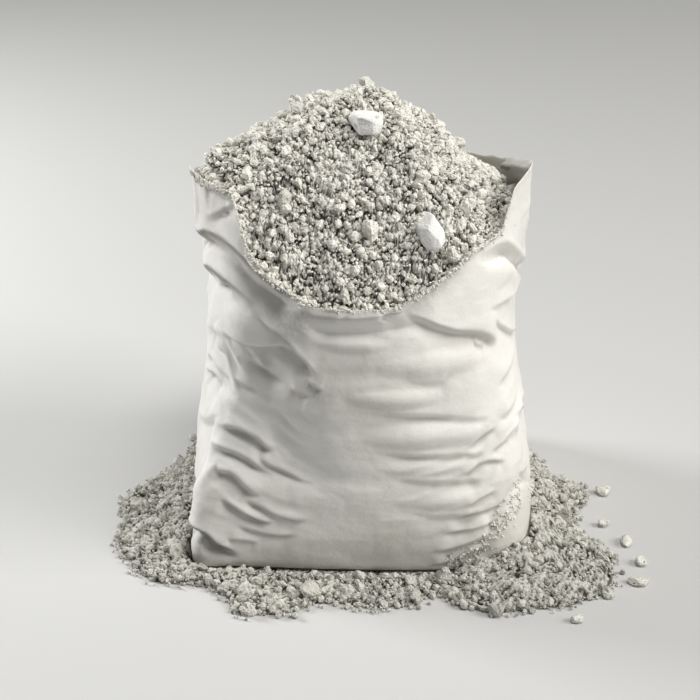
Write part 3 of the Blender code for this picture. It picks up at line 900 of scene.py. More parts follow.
@dataclass(frozen=True)
class Station:
    """The sack's outline at one height: shares of its height, half width, and half depth front and back.

    The shift moves the outline to the right, in metres. The softness is how far the outline has gone from a
    box to a rounder one, and the pinch how far from either to a mouth pointed at the two ears.
    """

    height: float
    width: float
    front: float
    back: float
    pinch: float
    shift: float
    softness: float


@dataclass
class PaperSack:
    """The paper sack: one sheet rolled to a tube, its foot closed and its mouth cut open."""

    stations: tuple[Station, ...] = (
        Station(0.00, 0.984, 0.935, 0.935, 0.00, 0.0030, 0.00),
        Station(0.08, 0.992, 0.945, 0.955, 0.02, 0.0030, 0.00),
        Station(0.23, 0.976, 0.925, 0.985, 0.08, 0.0020, 0.20),
        Station(0.38, 0.930, 0.905, 0.985, 0.16, 0.0020, 0.70),
        Station(0.51, 0.895, 0.895, 0.965, 0.28, 0.0020, 1.00),
        Station(0.64, 0.885, 0.900, 0.950, 0.45, 0.0020, 1.00),
        Station(0.77, 0.905, 0.925, 0.955, 0.65, 0.0040, 1.00),
        Station(0.88, 0.905, 0.950, 0.960, 0.85, 0.0045, 1.00),
        Station(1.00, 0.922, 0.955, 0.960, 0.95, 0.0020, 1.00),
    )
    front_rim: tuple[Pair, ...] = (
        (-0.163, 0.390), (-0.150, 0.389), (-0.127, 0.388), (-0.114, 0.385), (-0.109, 0.363), (-0.100, 0.338),
        (-0.081, 0.321), (-0.055, 0.302), (-0.039, 0.294), (0.000, 0.292), (0.036, 0.297), (0.054, 0.308),
        (0.077, 0.320), (0.093, 0.333), (0.110, 0.341), (0.129, 0.346), (0.137, 0.367), (0.143, 0.379),
        (0.162, 0.391),
    )
    back_rim: tuple[Pair, ...] = (
        (-0.163, 0.390), (-0.142, 0.372), (-0.100, 0.352), (-0.060, 0.344), (0.000, 0.347), (0.060, 0.343),
        (0.106, 0.354), (0.129, 0.361), (0.139, 0.367), (0.150, 0.376), (0.158, 0.385), (0.162, 0.391),
    )
    rim_guess: float = 0.36
    rim_tears: tuple[tuple[float, int, float], ...] = ((0.006, 3, 0.0007), (0.02, 4, 0.0012))
    whole_rim: Pair = (0.375, 0.01)
    half_width: float = 0.1750
    half_depth: float = 0.1470
    ear_height: float = 0.3910
    columns: int = 460
    wall_rows: int = 196
    inner_rows: tuple[int, ...] = (0, 1, 2, 3, 5, 7, 9, 12, 15, 19, 24, 31, 42, 60, 90, 130, 186)
    close_rows: int = 9
    lining_gap: float = 0.0015
    lining_reach: int = 3
    even_rows: float = 0.72
    even_height: float = 0.262
    paper: float = 0.0008
    outline_points: int = 4001
    left_squareness: float = 20.0
    right_squareness: float = 6.0
    soft_squareness: float = 4.3
    mouth_sharpness: float = 1.5
    front_quarter: float = 3.0
    front_weight: float = 2.1
    front_half: Pair = (1.05, 0.4)
    ear_lean: float = 0.030
    ear_start: Pair = (0.6, 0.4)
    ear_sharpness: int = 6
    belly: float = 0.009
    belly_middle: float = 0.050
    belly_half: float = 0.19
    belly_top: Pair = (0.45, 0.4)
    keel: float = 0.010
    keel_middle: float = 0.020
    keel_radius: float = 0.030
    keel_half: float = 0.14
    keel_foot: float = 0.25
    keel_top: Pair = (0.62, 0.3)
    rolled: tuple[tuple[float, ...], ...] = (
        (-0.270, -0.255, -0.120, 0.050, 0.085, 0.190, 0.215),
        (0.0000, 0.0090, 0.0095, 0.0080, 0.0050, 0.0050, 0.0000),
        (0.0000, 0.0030, 0.0044, 0.0042, 0.0026, 0.0026, 0.0000),
    )
    roll_waver: float = 0.30
    roll_cell: float = 0.012
    roll_edge: float = 0.0022
    foot_radius: float = 0.011
    corner_foot_radius: float = 0.002
    tight_corner: Triple = (-0.15, 0.06, 0.04)
    foot_calm: float = 0.02
    sheet_width: float = 1.06
    sheet_wrap: float = 0.55
    folds: tuple[Fold, ...] = FRONT_FOLDS
    swells: tuple[Swell, ...] = FRONT_SWELLS
    ripples: tuple[Ripples, ...] = FRONT_RIPPLES
    slack: float = 0.0022
    slack_cell: float = 0.11
    crumples: tuple[tuple[float, int, float], ...] = (
        (0.045, 21, -0.0022), (0.028, 31, 0.0012), (0.013, 41, -0.0004),
    )
    crumple_lift: float = 0.0006
    crumple_height: float = 1.6
    front_calm: Triple = (0.45, 0.25, 0.08)
    roaming: int = 30
    roam_corners: tuple[float, ...] = (-0.40, -0.145, 0.145, 0.40)
    roam_lengths: Pair = (0.05, 0.13)
    roam_heights: Pair = (0.03, 0.30)
    roam_depths: Pair = (0.5, 1.2)
    shade_rounds: int = 14
    shade_depth: float = 0.0036
    shade_sharpness: float = 1.3
    inner_dust: float = 0.25
    stain: Pair = (292.0, 322.0)
    hem_drop: float = 0.010
    hem_lean: float = 0.016
    hem_middle: float = 0.297
    hem_half: float = 0.034
    hem_fade: float = 0.008

    def section(self, quarters: Array, ring: Ring) -> Array:
        """Places round one outline of half size 1.

        Args:
            quarters: how far round, in quarters anticlockwise from +X, evenly along each quarter.
            ring: which outline.

        Returns:
            Rows of x and y.
        """
        fine = np.linspace(0.0, 1.0, self.outline_points)
        found = np.zeros((len(quarters), 2))
        for quarter in range(4):
            turn = (quarter + fine) * math.pi / 2.0
            c, s = np.cos(turn), np.sin(turn)
            if ring is Ring.MOUTH:
                x, y = c, np.sign(s) * np.abs(s) ** self.mouth_sharpness
            else:
                square = np.where(c < 0.0, self.left_squareness, self.right_squareness)
                power = 2.0 / (square if ring is Ring.BOX else self.soft_squareness)
                x, y = np.sign(c) * np.abs(c) ** power, np.sign(s) * np.abs(s) ** power
            run = np.concatenate(([0.0], np.cumsum(np.hypot(np.diff(x), np.diff(y)))))
            here = np.floor(quarters).astype(int) % 4 == quarter
            part = (quarters[here] % 1.0) * run[-1]
            found[here] = np.stack((np.interp(part, run, x), np.interp(part, run, y)), axis=-1)
        return found

    def quarters(self) -> Array:
        """How far round each column lies, closer together on the front, from the back seam to it again."""
        fine = np.linspace(self.front_quarter - 2.0, self.front_quarter + 2.0, 2001)
        weight = 1.0 + (self.front_weight - 1.0) * inside(np.abs(fine - self.front_quarter), *self.front_half)
        run = np.concatenate(([0.0], np.cumsum((weight[1:] + weight[:-1]) / 2.0)))
        return np.interp(np.linspace(0.0, run[-1], self.columns + 1), run, fine)

    def loft(self, quarters: Array, heights: Array) -> Array:
        """The smooth wall, without its folds.

        Args:
            quarters: how far round each column lies.
            heights: rows of heights, one for each column.

        Returns:
            Places by row and column.
        """
        share = heights / self.ear_height
        keys = [s.height for s in self.stations]
        width, ahead, behind, pinch, shift, softness = (
            curve_through(keys, [getattr(s, name) for s in self.stations], share)
            for name in ("width", "front", "back", "pinch", "shift", "softness")
        )
        box, soft, mouth = (self.section(quarters, ring)[None] for ring in (Ring.BOX, Ring.SOFT, Ring.MOUTH))
        plan = box + (soft - box) * softness[..., None]
        plan = plan + (mouth - plan) * pinch[..., None]
        x = plan[..., 0] * width * self.half_width + shift
        y = plan[..., 1] * np.where(plan[..., 1] < 0.0, ahead, behind) * self.half_depth
        front = eased(-plan[..., 1] * 2.0)
        lens = 1.0 - ((x - self.belly_middle) / self.belly_half) ** 2
        y -= self.belly * lens * front * (1.0 - past(share, *self.belly_top))
        beside_keel = np.hypot(x - self.keel_middle, self.keel_radius) - self.keel_radius
        high = eased(share / self.keel_foot) * (1.0 - past(share, *self.keel_top))
        y -= self.keel * (1.0 - beside_keel / self.keel_half) * front * high
        y -= self.ear_lean * np.abs(plan[..., 0]) ** self.ear_sharpness * past(share, *self.ear_start)
        return np.stack((x, y, heights), axis=-1)

    def rim_heights(self, quarters: Array) -> Array:
        """Height of the cut rim at each column, torn a little where it isn't the sheet's own edge."""
        guess = self.loft(quarters, np.full((1, len(quarters)), self.rim_guess))[0]
        front = np.interp(guess[:, 0], *np.array(self.front_rim).T)
        back = curve_through(*np.array(self.back_rim).T, guess[:, 0])
        rim = np.where(np.abs(quarters - self.front_quarter) < 1.0, front, back)
        tear = sum(noise(guess, cell, seed) * lift for cell, seed, lift in self.rim_tears)
        return rim + tear * (1.0 - past(rim, *self.whole_rim))

    def wall_heights(self, rim: Array) -> Array:
        """Heights by row and column: even rows low down, then rows that share what is left up to the rim."""
        share = np.linspace(0.0, 1.0, self.wall_rows + 1)[:, None]
        low = np.minimum(share / self.even_rows, 1.0) * self.even_height
        part = np.clip((share - self.even_rows) / (1.0 - self.even_rows), 0.0, 1.0)
        return low + (rim[None] - self.even_height) * part

    def sheet_places(self, quarters: Array, heights: Array) -> Array:
        """Where each vertex lies on the paper: across from the front's middle, and up."""
        across = (quarters - self.front_quarter) / 4.0 * self.sheet_width
        return np.stack((np.broadcast_to(across, heights.shape), heights), axis=-1)

    def picture_to_sheet(self, loft: Array, sheet: Array, camera: PhotoCamera) -> SheetRule:
        """Makes the rule that finds a picture's pixel on the front of the sheet."""
        front = (np.abs(sheet[..., 0]) < self.sheet_width * 0.25).ravel()
        seen = camera.pixels(loft.reshape(-1, 3)[front])
        places = sheet.reshape(-1, 2)[front]

        def rule(pixels: Array) -> Array:
            """The mean of the sheet places that show nearest each pixel, the nearest counting most."""
            found = []
            for pixel in pixels:
                apart = np.sum((seen - pixel) ** 2, axis=1)
                nearest = np.argpartition(apart, 6)[:6]
                weight = 1.0 / (apart[nearest] + 0.05)
                found.append(weight @ places[nearest] / weight.sum())
            return np.array(found)

        return rule

    def crumple(self, loft: Array, sheet: Array) -> Array:
        """Broad slack and small sharp creases all over the paper, as a distance outwards."""
        spots = loft * (1.0, 1.0, self.crumple_height)
        slack = layered_noise(spots, self.slack_cell, 2, 11) * self.slack
        creases = sum(np.abs(noise(spots, cell, seed)) * lift for cell, seed, lift in self.crumples)
        share, reach, fade = self.front_calm
        calm = 1.0 - share * inside(np.abs(sheet[..., 0]), reach, fade)
        return slack + (creases + self.crumple_lift) * calm

    def roam_folds(self, rng: np.random.Generator) -> list[tuple[Fold, Array]]:
        """Folds for the sides and the back, which start at the corners as those on the front do.

        From a front corner a fold runs back along the side, and from a back corner it runs either way.
        """
        made = []
        for k in range(self.roaming):
            corner = self.roam_corners[k % 4]
            way = math.copysign(1.0, corner) if abs(corner) < 0.2 else (1.0 if k % 8 < 4 else -1.0)
            length = rng.uniform(*self.roam_lengths)
            height = rng.uniform(*self.roam_heights)
            tilt = rng.normal(0.0, 0.28) + 0.25 * (height - 0.15) / 0.15 * way
            start = np.array((corner + rng.normal(0.0, 0.012), height))
            step = np.array((way * length, tilt * length))
            bend = np.array((0.0, rng.normal(0.0, 0.12) * length))
            line = np.array([start, start + step * 0.5 + bend, start + step])
            if way < 0.0:
                line = line[::-1]
            shape = (FoldShape.CREASE, FoldShape.KNIFE, FoldShape.SOFT)[rng.integers(3)]
            made.append((Fold(shape, (), depth=rng.uniform(*self.roam_depths)), smooth_line(line)))
        return made

    def press_folds(self, sheet: Array, to_sheet: SheetRule) -> tuple[Array, Array, Array]:
        """Adds up every fold.

        Args:
            sheet: places on the sheet, by row and column.
            to_sheet: the rule from picture pixels to the sheet.

        Returns:
            How far each place moves outwards, how far it slides down, and how much shade is painted on it.
        """
        flat = sheet.reshape(-1, 2)
        out = sum(swell.press(flat, to_sheet) for swell in (*self.swells, *self.ripples))
        slid, fold_shade = np.zeros(len(flat)), np.zeros(len(flat))
        lines = [(fold, fold.line(to_sheet)) for fold in self.folds]
        lines += self.roam_folds(np.random.default_rng(7))
        for fold, line in lines:
            for turn in (-self.sheet_width, 0.0, self.sheet_width):
                if np.abs(line[:, 0] + turn).min() > self.sheet_width * self.sheet_wrap:
                    continue
                moved, dropped, shaded_by_fold = fold.press(flat, line + np.array((turn, 0.0)))
                out += moved
                slid += dropped
                fold_shade = np.maximum(fold_shade, shaded_by_fold)
        return tuple(values.reshape(sheet.shape[:2]) for values in (out, slid, fold_shade))

    def rolled_rim(self, sheet: Array) -> Array:
        """How far the rim's rolled edge stands out, along the front between the two ears."""
        across, below = sheet[..., 0], self.rim[None] - sheet[..., 1]
        depth, lift = (np.interp(across, self.rolled[0], row) for row in self.rolled[1:])
        spots = np.stack((across, below * 0.0, below * 0.0), axis=-1)
        wavy = depth * (1.0 + self.roll_waver * noise(spots, self.roll_cell, 5))
        round_top = 1.0 - 0.5 * (below / np.maximum(wavy, 1e-4) - 0.5) ** 2
        return lift * inside(below, wavy, self.roll_edge) * round_top

    def foot_inset(self, sheet: Array) -> Array:
        """How far the wall draws in where it rolls under to the foot, tightest at the left front corner."""
        place, reach, fade = self.tight_corner
        corner = inside(np.abs(sheet[..., 0] - place), reach, fade)
        radius = self.foot_radius + (self.corner_foot_radius - self.foot_radius) * corner
        rise = np.clip(1.0 - sheet[..., 1] / radius, 0.0, 1.0)
        return radius * (1.0 - np.sqrt(1.0 - rise**2))

    def outer_wall(self, camera: PhotoCamera) -> None:
        """Works out the outer wall, row by row from the foot to the rim."""
        quarters = self.quarters()
        self.rim = self.rim_heights(quarters)
        heights = self.wall_heights(self.rim)
        loft = self.loft(quarters, heights)
        self.sheet = self.sheet_places(quarters, heights)
        self.to_sheet = self.picture_to_sheet(loft, self.sheet, camera)
        out, slid, fold_shade = self.press_folds(self.sheet, self.to_sheet)
        out += self.crumple(loft, self.sheet) + self.rolled_rim(self.sheet)
        low = eased(heights / self.foot_calm)
        out = out * low - self.foot_inset(self.sheet)
        wall = loft + grid_normals(loft) * out[..., None]
        wall[..., 2] -= slid * low
        wall = soften(wall, 1)
        wall[0, :, 2] = 0.0
        wall[..., 2] = np.maximum(wall[..., 2], 0.0)
        self.wall = wall
        self.loft_places, self.pressed = loft, out
        # Painted shade: darker where the paper lies sunk below its neighbours, and under the folds' lips
        evened = soften(out[..., None], self.shade_rounds)[..., 0]
        sunk = np.clip((evened - out) / self.shade_depth, 0.0, 1.0)
        self.crease_shade = np.clip(sunk**self.shade_sharpness + fold_shade, 0.0, 1.0) * low

    def inner_wall(self) -> Array:
        """The inner wall, from the rim down, with the turned-down hem at the right ear.

        Where its rows lie far apart, each stands behind the deepest fold between its neighbours.
        """
        rows = [self.wall_rows - k for k in self.inner_rows]
        depth = self.rim[None] - self.sheet[rows, :, 1]
        hem = np.where(depth < self.hem_drop, depth / self.hem_drop, 0.0) * self.hem_lean
        beside_hem = np.abs(self.sheet[rows, :, 0] - self.hem_middle)
        thickness = self.paper + hem * inside(beside_hem, self.hem_half, self.hem_fade)
        inner = self.wall[rows] - grid_normals(self.wall)[rows] * thickness[..., None]
        loft_normals = grid_normals(self.loft_places)
        for k in range(self.close_rows, len(rows)):
            lowest, highest = rows[min(k + 1, len(rows) - 1)], rows[k - 1]
            deepest = self.pressed[lowest : highest + 1].min(axis=0)[:-1]
            turns = range(-self.lining_reach, self.lining_reach + 1)
            deepest = np.min([np.roll(deepest, turn) for turn in turns], axis=0)
            deepest = np.append(deepest, deepest[0]) - self.paper - self.lining_gap
            inner[k] = self.loft_places[rows[k]] + loft_normals[rows[k]] * deepest[:, None]
        return inner

    def build(self, camera: PhotoCamera, finish: Finish) -> Piece:
        """Builds the sack, with its front's folds where the camera sees them, and joins it to the frame."""
        self.outer_wall(camera)
        inner = self.inner_wall()
        rows = self.wall_rows + len(self.inner_rows)
        sack, order = flat_sheet("creased_sack", self.columns, rows)
        places = places_of(sack)
        places[order] = np.concatenate((self.wall, inner))
        set_places(sack, places)
        hem = inner[..., 2] > self.rim - self.hem_drop
        # Real dust goes on both walls; the painted crease shade goes only on the outer wall
        tones = (("dust", self.dust_share(), self.inner_dust), ("crease_shade", self.crease_shade, 0.0))
        for name, outer, within in tones:
            values = np.zeros(len(places))
            values[order] = np.concatenate((outer, np.where(hem, 0.0, within)))
            paint(sack, name, values)
        edit(
            sack,
            lambda: bpy.ops.mesh.select_all(action="SELECT"),
            lambda: bpy.ops.mesh.remove_doubles(threshold=MERGE_DISTANCE),
            lambda: bpy.ops.mesh.select_all(action="DESELECT"),
            lambda: bpy.ops.mesh.select_non_manifold(),
            lambda: bpy.ops.mesh.fill_holes(sides=0),
        )
        settle(sack, "sack_paper", finish, "paper_sack")
        return sack

    def dust_share(self) -> Array:
        """How much cement dust lies on each place of the outer wall."""
        stain = self.to_sheet(np.array((self.stain,)))[0]
        return PaperDust().share(self.sheet, self.rim[None] - self.sheet[..., 1], stain)


@dataclass(frozen=True)
class PaperDust:
    """Where cement dust lies on the paper, in patches: each place has its reach, its fade and its strength.

    It lies along the rim, at the foot, below the rim where cement ran over it, in the fold of the right front
    corner, and in a stain under the left ear.
    """

    patch_cell: float = 0.03
    rim: Triple = (0.012, 0.012, 0.8)
    foot: Triple = (0.03, 0.03, 0.5)
    spilled_middle: float = 0.07
    spilled_across: Pair = (0.05, 0.04)
    spilled_below: Pair = (0.03, 0.03)
    corner_middle: float = 0.17
    corner_across: Pair = (0.03, 0.02)
    corner_up: Triple = (0.10, 0.06, 0.7)
    stain: Triple = (0.030, 0.018, 1.1)
    stain_flatness: float = 1.4

    def share(self, sheet: Array, below_rim: Array, stain_middle: Array) -> Array:
        """How much dust lies on the paper.

        Args:
            sheet: places on the sheet, across and up.
            below_rim: how far below the rim each of them is.
            stain_middle: where the stain is on the sheet.

        Returns:
            Each place's share of dust, from 0 to 1.
        """
        across, up = sheet[..., 0], sheet[..., 1]
        level = np.stack((across, up, across * 0.0), axis=-1)
        patch = 0.5 + 0.5 * layered_noise(level, self.patch_cell, 3, 51)
        rim = inside(below_rim, *self.rim[:2]) * self.rim[2]
        foot = inside(up, *self.foot[:2]) * self.foot[2]
        spilled = inside(np.abs(across - self.spilled_middle), *self.spilled_across)
        spilled *= inside(below_rim, *self.spilled_below)
        corner = inside(np.abs(across - self.corner_middle), *self.corner_across)
        corner = corner * inside(up, *self.corner_up[:2]) * self.corner_up[2]
        away = np.hypot(across - stain_middle[0], (up - stain_middle[1]) * self.stain_flatness)
        stained = inside(away, *self.stain[:2]) * self.stain[2]
        return np.clip((rim + foot + spilled + corner + stained) * patch, 0.0, 1.0)


def grid_normals(places: Array) -> Array:
    """Unit normals of a sheet of places that closes on itself across, pointing to its outer side."""
    ring = places[:, :-1]
    across = np.roll(ring, -1, axis=1) - np.roll(ring, 1, axis=1)
    up = np.gradient(ring, axis=0)
    normal = np.cross(across, up)
    normal /= np.maximum(np.linalg.norm(normal, axis=-1, keepdims=True), 1e-12)
    return np.concatenate((normal, normal[:, :1]), axis=1)


def soften(places: Array, times: int) -> Array:
    """Evens a sheet that closes on itself across, keeping its first and last rows."""
    for _ in range(times):
        ring = places[:, :-1]
        across = (np.roll(ring, -1, axis=1) + np.roll(ring, 1, axis=1)) / 2.0
        beside_up = ring.copy()
        beside_up[1:-1] = (ring[:-2] + ring[2:]) / 2.0
        ring = ring * 0.5 + across * 0.25 + beside_up * 0.25
        ring[0], ring[-1] = places[0, :-1], places[-1, :-1]
        places = np.concatenate((ring, ring[:, :1]), axis=1)
    return places


@dataclass(frozen=True)
class Outline:
    """A closed outline round a middle point, read by direction."""

    middle: Pair
    turns: Array
    reaches: Array
    heights: Array

    @staticmethod
    def of(places: Array, middle: Pair) -> "Outline":
        """Reads an outline from rows of x, y, z."""
        away = places[:, :2] - np.array(middle)
        turns = np.arctan2(away[:, 1], away[:, 0])
        order = np.argsort(turns)
        return Outline(middle, turns[order], np.hypot(*away.T)[order], places[order, 2])

    def reach(self, turns: Array) -> Array:
        """Distance from the middle to the outline in each direction."""
        return np.interp(turns, self.turns, self.reaches, period=math.tau)

    def height(self, turns: Array) -> Array:
        """Height of the outline in each direction."""
        return np.interp(turns, self.turns, self.heights, period=math.tau)


def grains(points: Array, spacing: float, seed: int) -> tuple[Array, Array]:
    """Rounded grains packed side by side in space, cut by a surface.

    Args:
        points: rows of x, y, z to read.
        spacing: distance between neighbouring grains.
        seed: which packing to read.

    Returns:
        Each point's height on its grain, from 0 in the gap to 1 on top, and its grain's own random number.
    """
    scaled = points / spacing
    base = np.floor(scaled).astype(np.int64)
    best, second = np.full(len(points), np.inf), np.full(len(points), np.inf)
    owner, offset = base.copy(), np.zeros(points.shape)
    for corner in np.ndindex(3, 3, 3):
        cell = base + np.array(corner) - 1
        away = scaled - cell - np.stack([cell_noise(cell, seed + k) for k in range(3)], axis=-1)
        apart = np.linalg.norm(away, axis=1)
        closer = apart < best
        second = np.where(closer, best, np.minimum(second, apart))
        best = np.where(closer, apart, best)
        owner[closer], offset[closer] = cell[closer], away[closer]
    lean = np.stack([cell_noise(owner, seed + 4 + k) for k in range(3)], axis=-1) - 0.5
    edge = np.clip((second - best) * GRAIN_EDGE, 0.0, 1.0)
    tilt = GRAIN_TILT * np.sum(lean * offset, axis=1) * edge
    return np.clip(1.0 - (1.0 - edge) ** 2 + tilt, 0.0, GRAIN_TOP), cell_noise(owner, seed + 3)


@dataclass(frozen=True)
class CementRelief:
    """The grainy relief of loose cement: clumps and coarse grains here and there among middle and fine ones.

    Each size of grain has its spacing and its height in metres. Clumps and coarse grains also have the share
    of places that they leave empty, and what lies on them is flatter by the bury share.
    """

    bends: tuple[Pair, ...] = ((0.010, 0.0026), (0.0034, 0.0014))
    clump: Triple = (0.0150, 0.0046, 0.68)
    coarse: Triple = (0.0088, 0.0030, 0.50)
    middle: Pair = (0.0054, 0.0024)
    fine: Pair = (0.0031, 0.0011)
    swell: Pair = (0.016, 0.0016)
    lowest_grain: float = 0.4
    coarse_bury: float = 0.5
    bury: float = 0.40
    sink: float = 0.0038
    middle_gap_shade: float = 0.80
    fine_gap_shade: float = 0.46
    gap_shade_span: Pair = (0.32, 0.42)
    grain_tone: float = 0.04

    def read(self, points: Array, seed: int) -> tuple[Array, Array]:
        """Reads the relief at places on a smooth bed.

        Args:
            points: rows of x, y, z on the bed.
            seed: which relief to read.

        Returns:
            Its height above or below the bed, and its tone: painted shade from 0 on the grains to 1 in the
            gaps, with a little random tone by grain.
        """
        bent = points
        for cell, bend in self.bends:
            bent = bent + bend * np.column_stack([noise(points, cell, seed + 40 + k) for k in range(3)])
        clump, clump_tone = grains(bent + 0.3, self.clump[0], seed)
        coarse, coarse_tone = grains(bent + 0.1, self.coarse[0], seed + 50)
        middle, middle_tone = grains(bent + 0.5, self.middle[0], seed + 10)
        fine, fine_tone = grains(bent + 0.7, self.fine[0], seed + 20)
        clump = np.where(clump_tone > self.clump[2], clump, 0.0)
        coarse = np.where(coarse_tone > self.coarse[2], coarse, 0.0)
        whole = 1.0 - self.bury * np.minimum(np.maximum(clump, coarse), 1.0)
        small = middle * (self.lowest_grain + middle_tone) * self.middle[1]
        small = small + fine * (self.lowest_grain + fine_tone) * self.fine[1]
        large = clump * self.clump[1]
        large = large + coarse * self.coarse[1] * (1.0 - self.coarse_bury * np.minimum(clump, 1.0))
        swell = noise(points, self.swell[0], seed + 30) * self.swell[1] - self.sink
        shaded_gaps = self.middle_gap_shade * (1.0 - np.minimum(middle, 1.0))
        shaded_gaps = shaded_gaps + self.fine_gap_shade * (1.0 - np.minimum(fine, 1.0))
        # Painted shade in the gaps between grains, with a random tone for each middle grain
        tone = past(shaded_gaps * whole, *self.gap_shade_span) + self.grain_tone * middle_tone
        return large + small * whole + swell, np.clip(tone, 0.0, 1.0)


class CrumbSize(Enum):
    """How many times the faces of a crumb of each size are divided."""

    LUMP = 2
    CRUMB = 1
    GRIT = 0


@dataclass
class CrumbBox:
    """A few crumb shapes, each modelled once, from which the loose cement is made."""

    kinds: int = 12
    roughness: float = 0.34
    knocks: tuple[Pair, ...] = ((0.7, 0.30), (0.35, 0.22))
    thinnest: Triple = (0.85, 0.75, 0.62)
    thickest: Triple = (1.15, 1.0, 0.9)
    tone_spread: float = 0.26

    def shape(self, kind: int, smoothing: int) -> tuple[Array, Array]:
        """Models one crumb: a cube, rounded, and knocked out of round.

        Args:
            kind: which crumb.
            smoothing: how many times its faces are divided.

        Returns:
            Its vertices, of half size about 1, and its quads.
        """
        bpy.ops.object.select_all(action="DESELECT")
        bpy.ops.mesh.primitive_cube_add(size=2.0)
        crumb = bpy.context.active_object
        rng = np.random.default_rng(100 + kind)
        edit(
            crumb,
            lambda: bpy.ops.mesh.select_all(action="SELECT"),
            lambda: bpy.ops.transform.vertex_random(offset=self.roughness * 2.0, seed=kind + 1),
        )
        if smoothing:
            rounded = crumb.modifiers.new("rounded", "SUBSURF")
            rounded.levels = rounded.render_levels = smoothing
            apply_modifiers(crumb)
        points = places_of(crumb)
        points /= np.abs(points).max(axis=0)
        place = points + rng.uniform(0.0, 50.0, 3)
        (cell, depth), (fine_cell, fine_depth) = self.knocks
        knocks = noise(place, cell, kind) * depth
        if smoothing > 1:
            knocks = knocks + noise(place, fine_cell, kind + 50) * fine_depth
        points *= (1.0 + knocks)[:, None]
        quads = np.array([p.vertices[:] for p in crumb.data.polygons])
        mesh = crumb.data
        bpy.data.objects.remove(crumb)
        bpy.data.meshes.remove(mesh)
        return points, quads

    def joined(
        self, name: str, places: Array, radii: Array, seed: int, size: CrumbSize, painted_shade: float = 0.0
    ) -> Piece:
        """Makes one piece of many crumbs.

        Args:
            name: the piece's name.
            places: each crumb's middle.
            radii: each crumb's half size.
            seed: which turns and proportions they get.
            size: how finely the crumbs are shaped.
            painted_shade: painted shade given to every crumb, which is the lightest crumb's tone.

        Returns:
            The piece, with a tone painted on each crumb.
        """
        shapes = [self.shape(k, size.value) for k in range(self.kinds)]
        rng = np.random.default_rng(seed)
        vertices, faces, tones, start = [], [], [], 0
        for place, radius in zip(places, radii):
            points, quads = shapes[rng.integers(self.kinds)]
            proportions = radius * rng.uniform(self.thinnest, self.thickest)
            turn = np.array(Euler(rng.uniform(-math.pi, math.pi, 3)).to_matrix())
            vertices.append((points * proportions) @ turn.T + place)
            faces.append(quads + start)
            tones.append(np.full(len(points), painted_shade + rng.random() ** 2.0 * self.tone_spread))
            start += len(points)
        placed = np.concatenate(vertices)
        placed[:, 2] = np.maximum(placed[:, 2], 0.0)
        return mesh_piece(name, placed, np.concatenate(faces), np.concatenate(tones))


def mesh_piece(name: str, vertices: Array, quads: Array, tones: Array) -> Piece:
    """Makes an object from arrays of vertices and quads, with a tone painted on each vertex."""
    mesh = bpy.data.meshes.new(name)
    mesh.vertices.add(len(vertices))
    mesh.vertices.foreach_set("co", vertices.astype(np.float32).ravel())
    mesh.loops.add(quads.size)
    mesh.loops.foreach_set("vertex_index", quads.astype(np.int32).ravel())
    mesh.polygons.add(len(quads))
    mesh.polygons.foreach_set("loop_start", np.arange(0, quads.size, quads.shape[1], dtype=np.int32))
    mesh.update(calc_edges=True)
    mesh.validate()
    piece = bpy.data.objects.new(name, mesh)
    bpy.context.scene.collection.objects.link(piece)
    paint(piece, "tone", tones)
    return piece


@dataclass(frozen=True)
class Scatter:
    """Crumbs of one size, thrown over a bed, to be joined as one piece.

    The closeness is how near two crumbs may come, as a share of their half sizes together, and the perch is
    how far they stand up from the bed or sink in it, as shares of their half size.
    """

    name: str
    size: CrumbSize
    throws: int
    smallest: float
    largest: float
    closeness: float
    seed: int
    few_large: float = 2.2
    perch: Pair = (-0.1, 0.6)

    def land(self, rng: np.random.Generator, spread: Callable[[Array], Array]) -> tuple[Array, Array]:
        """Throws crumbs one by one, largest first, and keeps those that land clear of the ones already there.

        Args:
            rng: the random numbers.
            spread: turns rows of two random shares into rows of x and y.

        Returns:
            Rows of x and y, and the half sizes, of those that were kept.
        """
        share = rng.random(self.throws) ** self.few_large
        radii = -np.sort(-(self.smallest + (self.largest - self.smallest) * share))
        spots = spread(rng.random((self.throws, 2)))
        homes = (spots // (radii.max() * 2.0)).astype(int)
        taken: dict[tuple[int, int], list[int]] = {}
        kept = []
        for k, (x, y) in enumerate(homes):
            around = ((x + dx - 1, y + dy - 1) for dx, dy in np.ndindex(3, 3))
            rivals = [other for home in around for other in taken.get(home, ())]
            apart = np.hypot(*(spots[rivals] - spots[k]).T)
            if np.all(apart >= (radii[rivals] + radii[k]) * self.closeness):
                kept.append(k)
                taken.setdefault((x, y), []).append(k)
        return spots[kept], radii[kept]


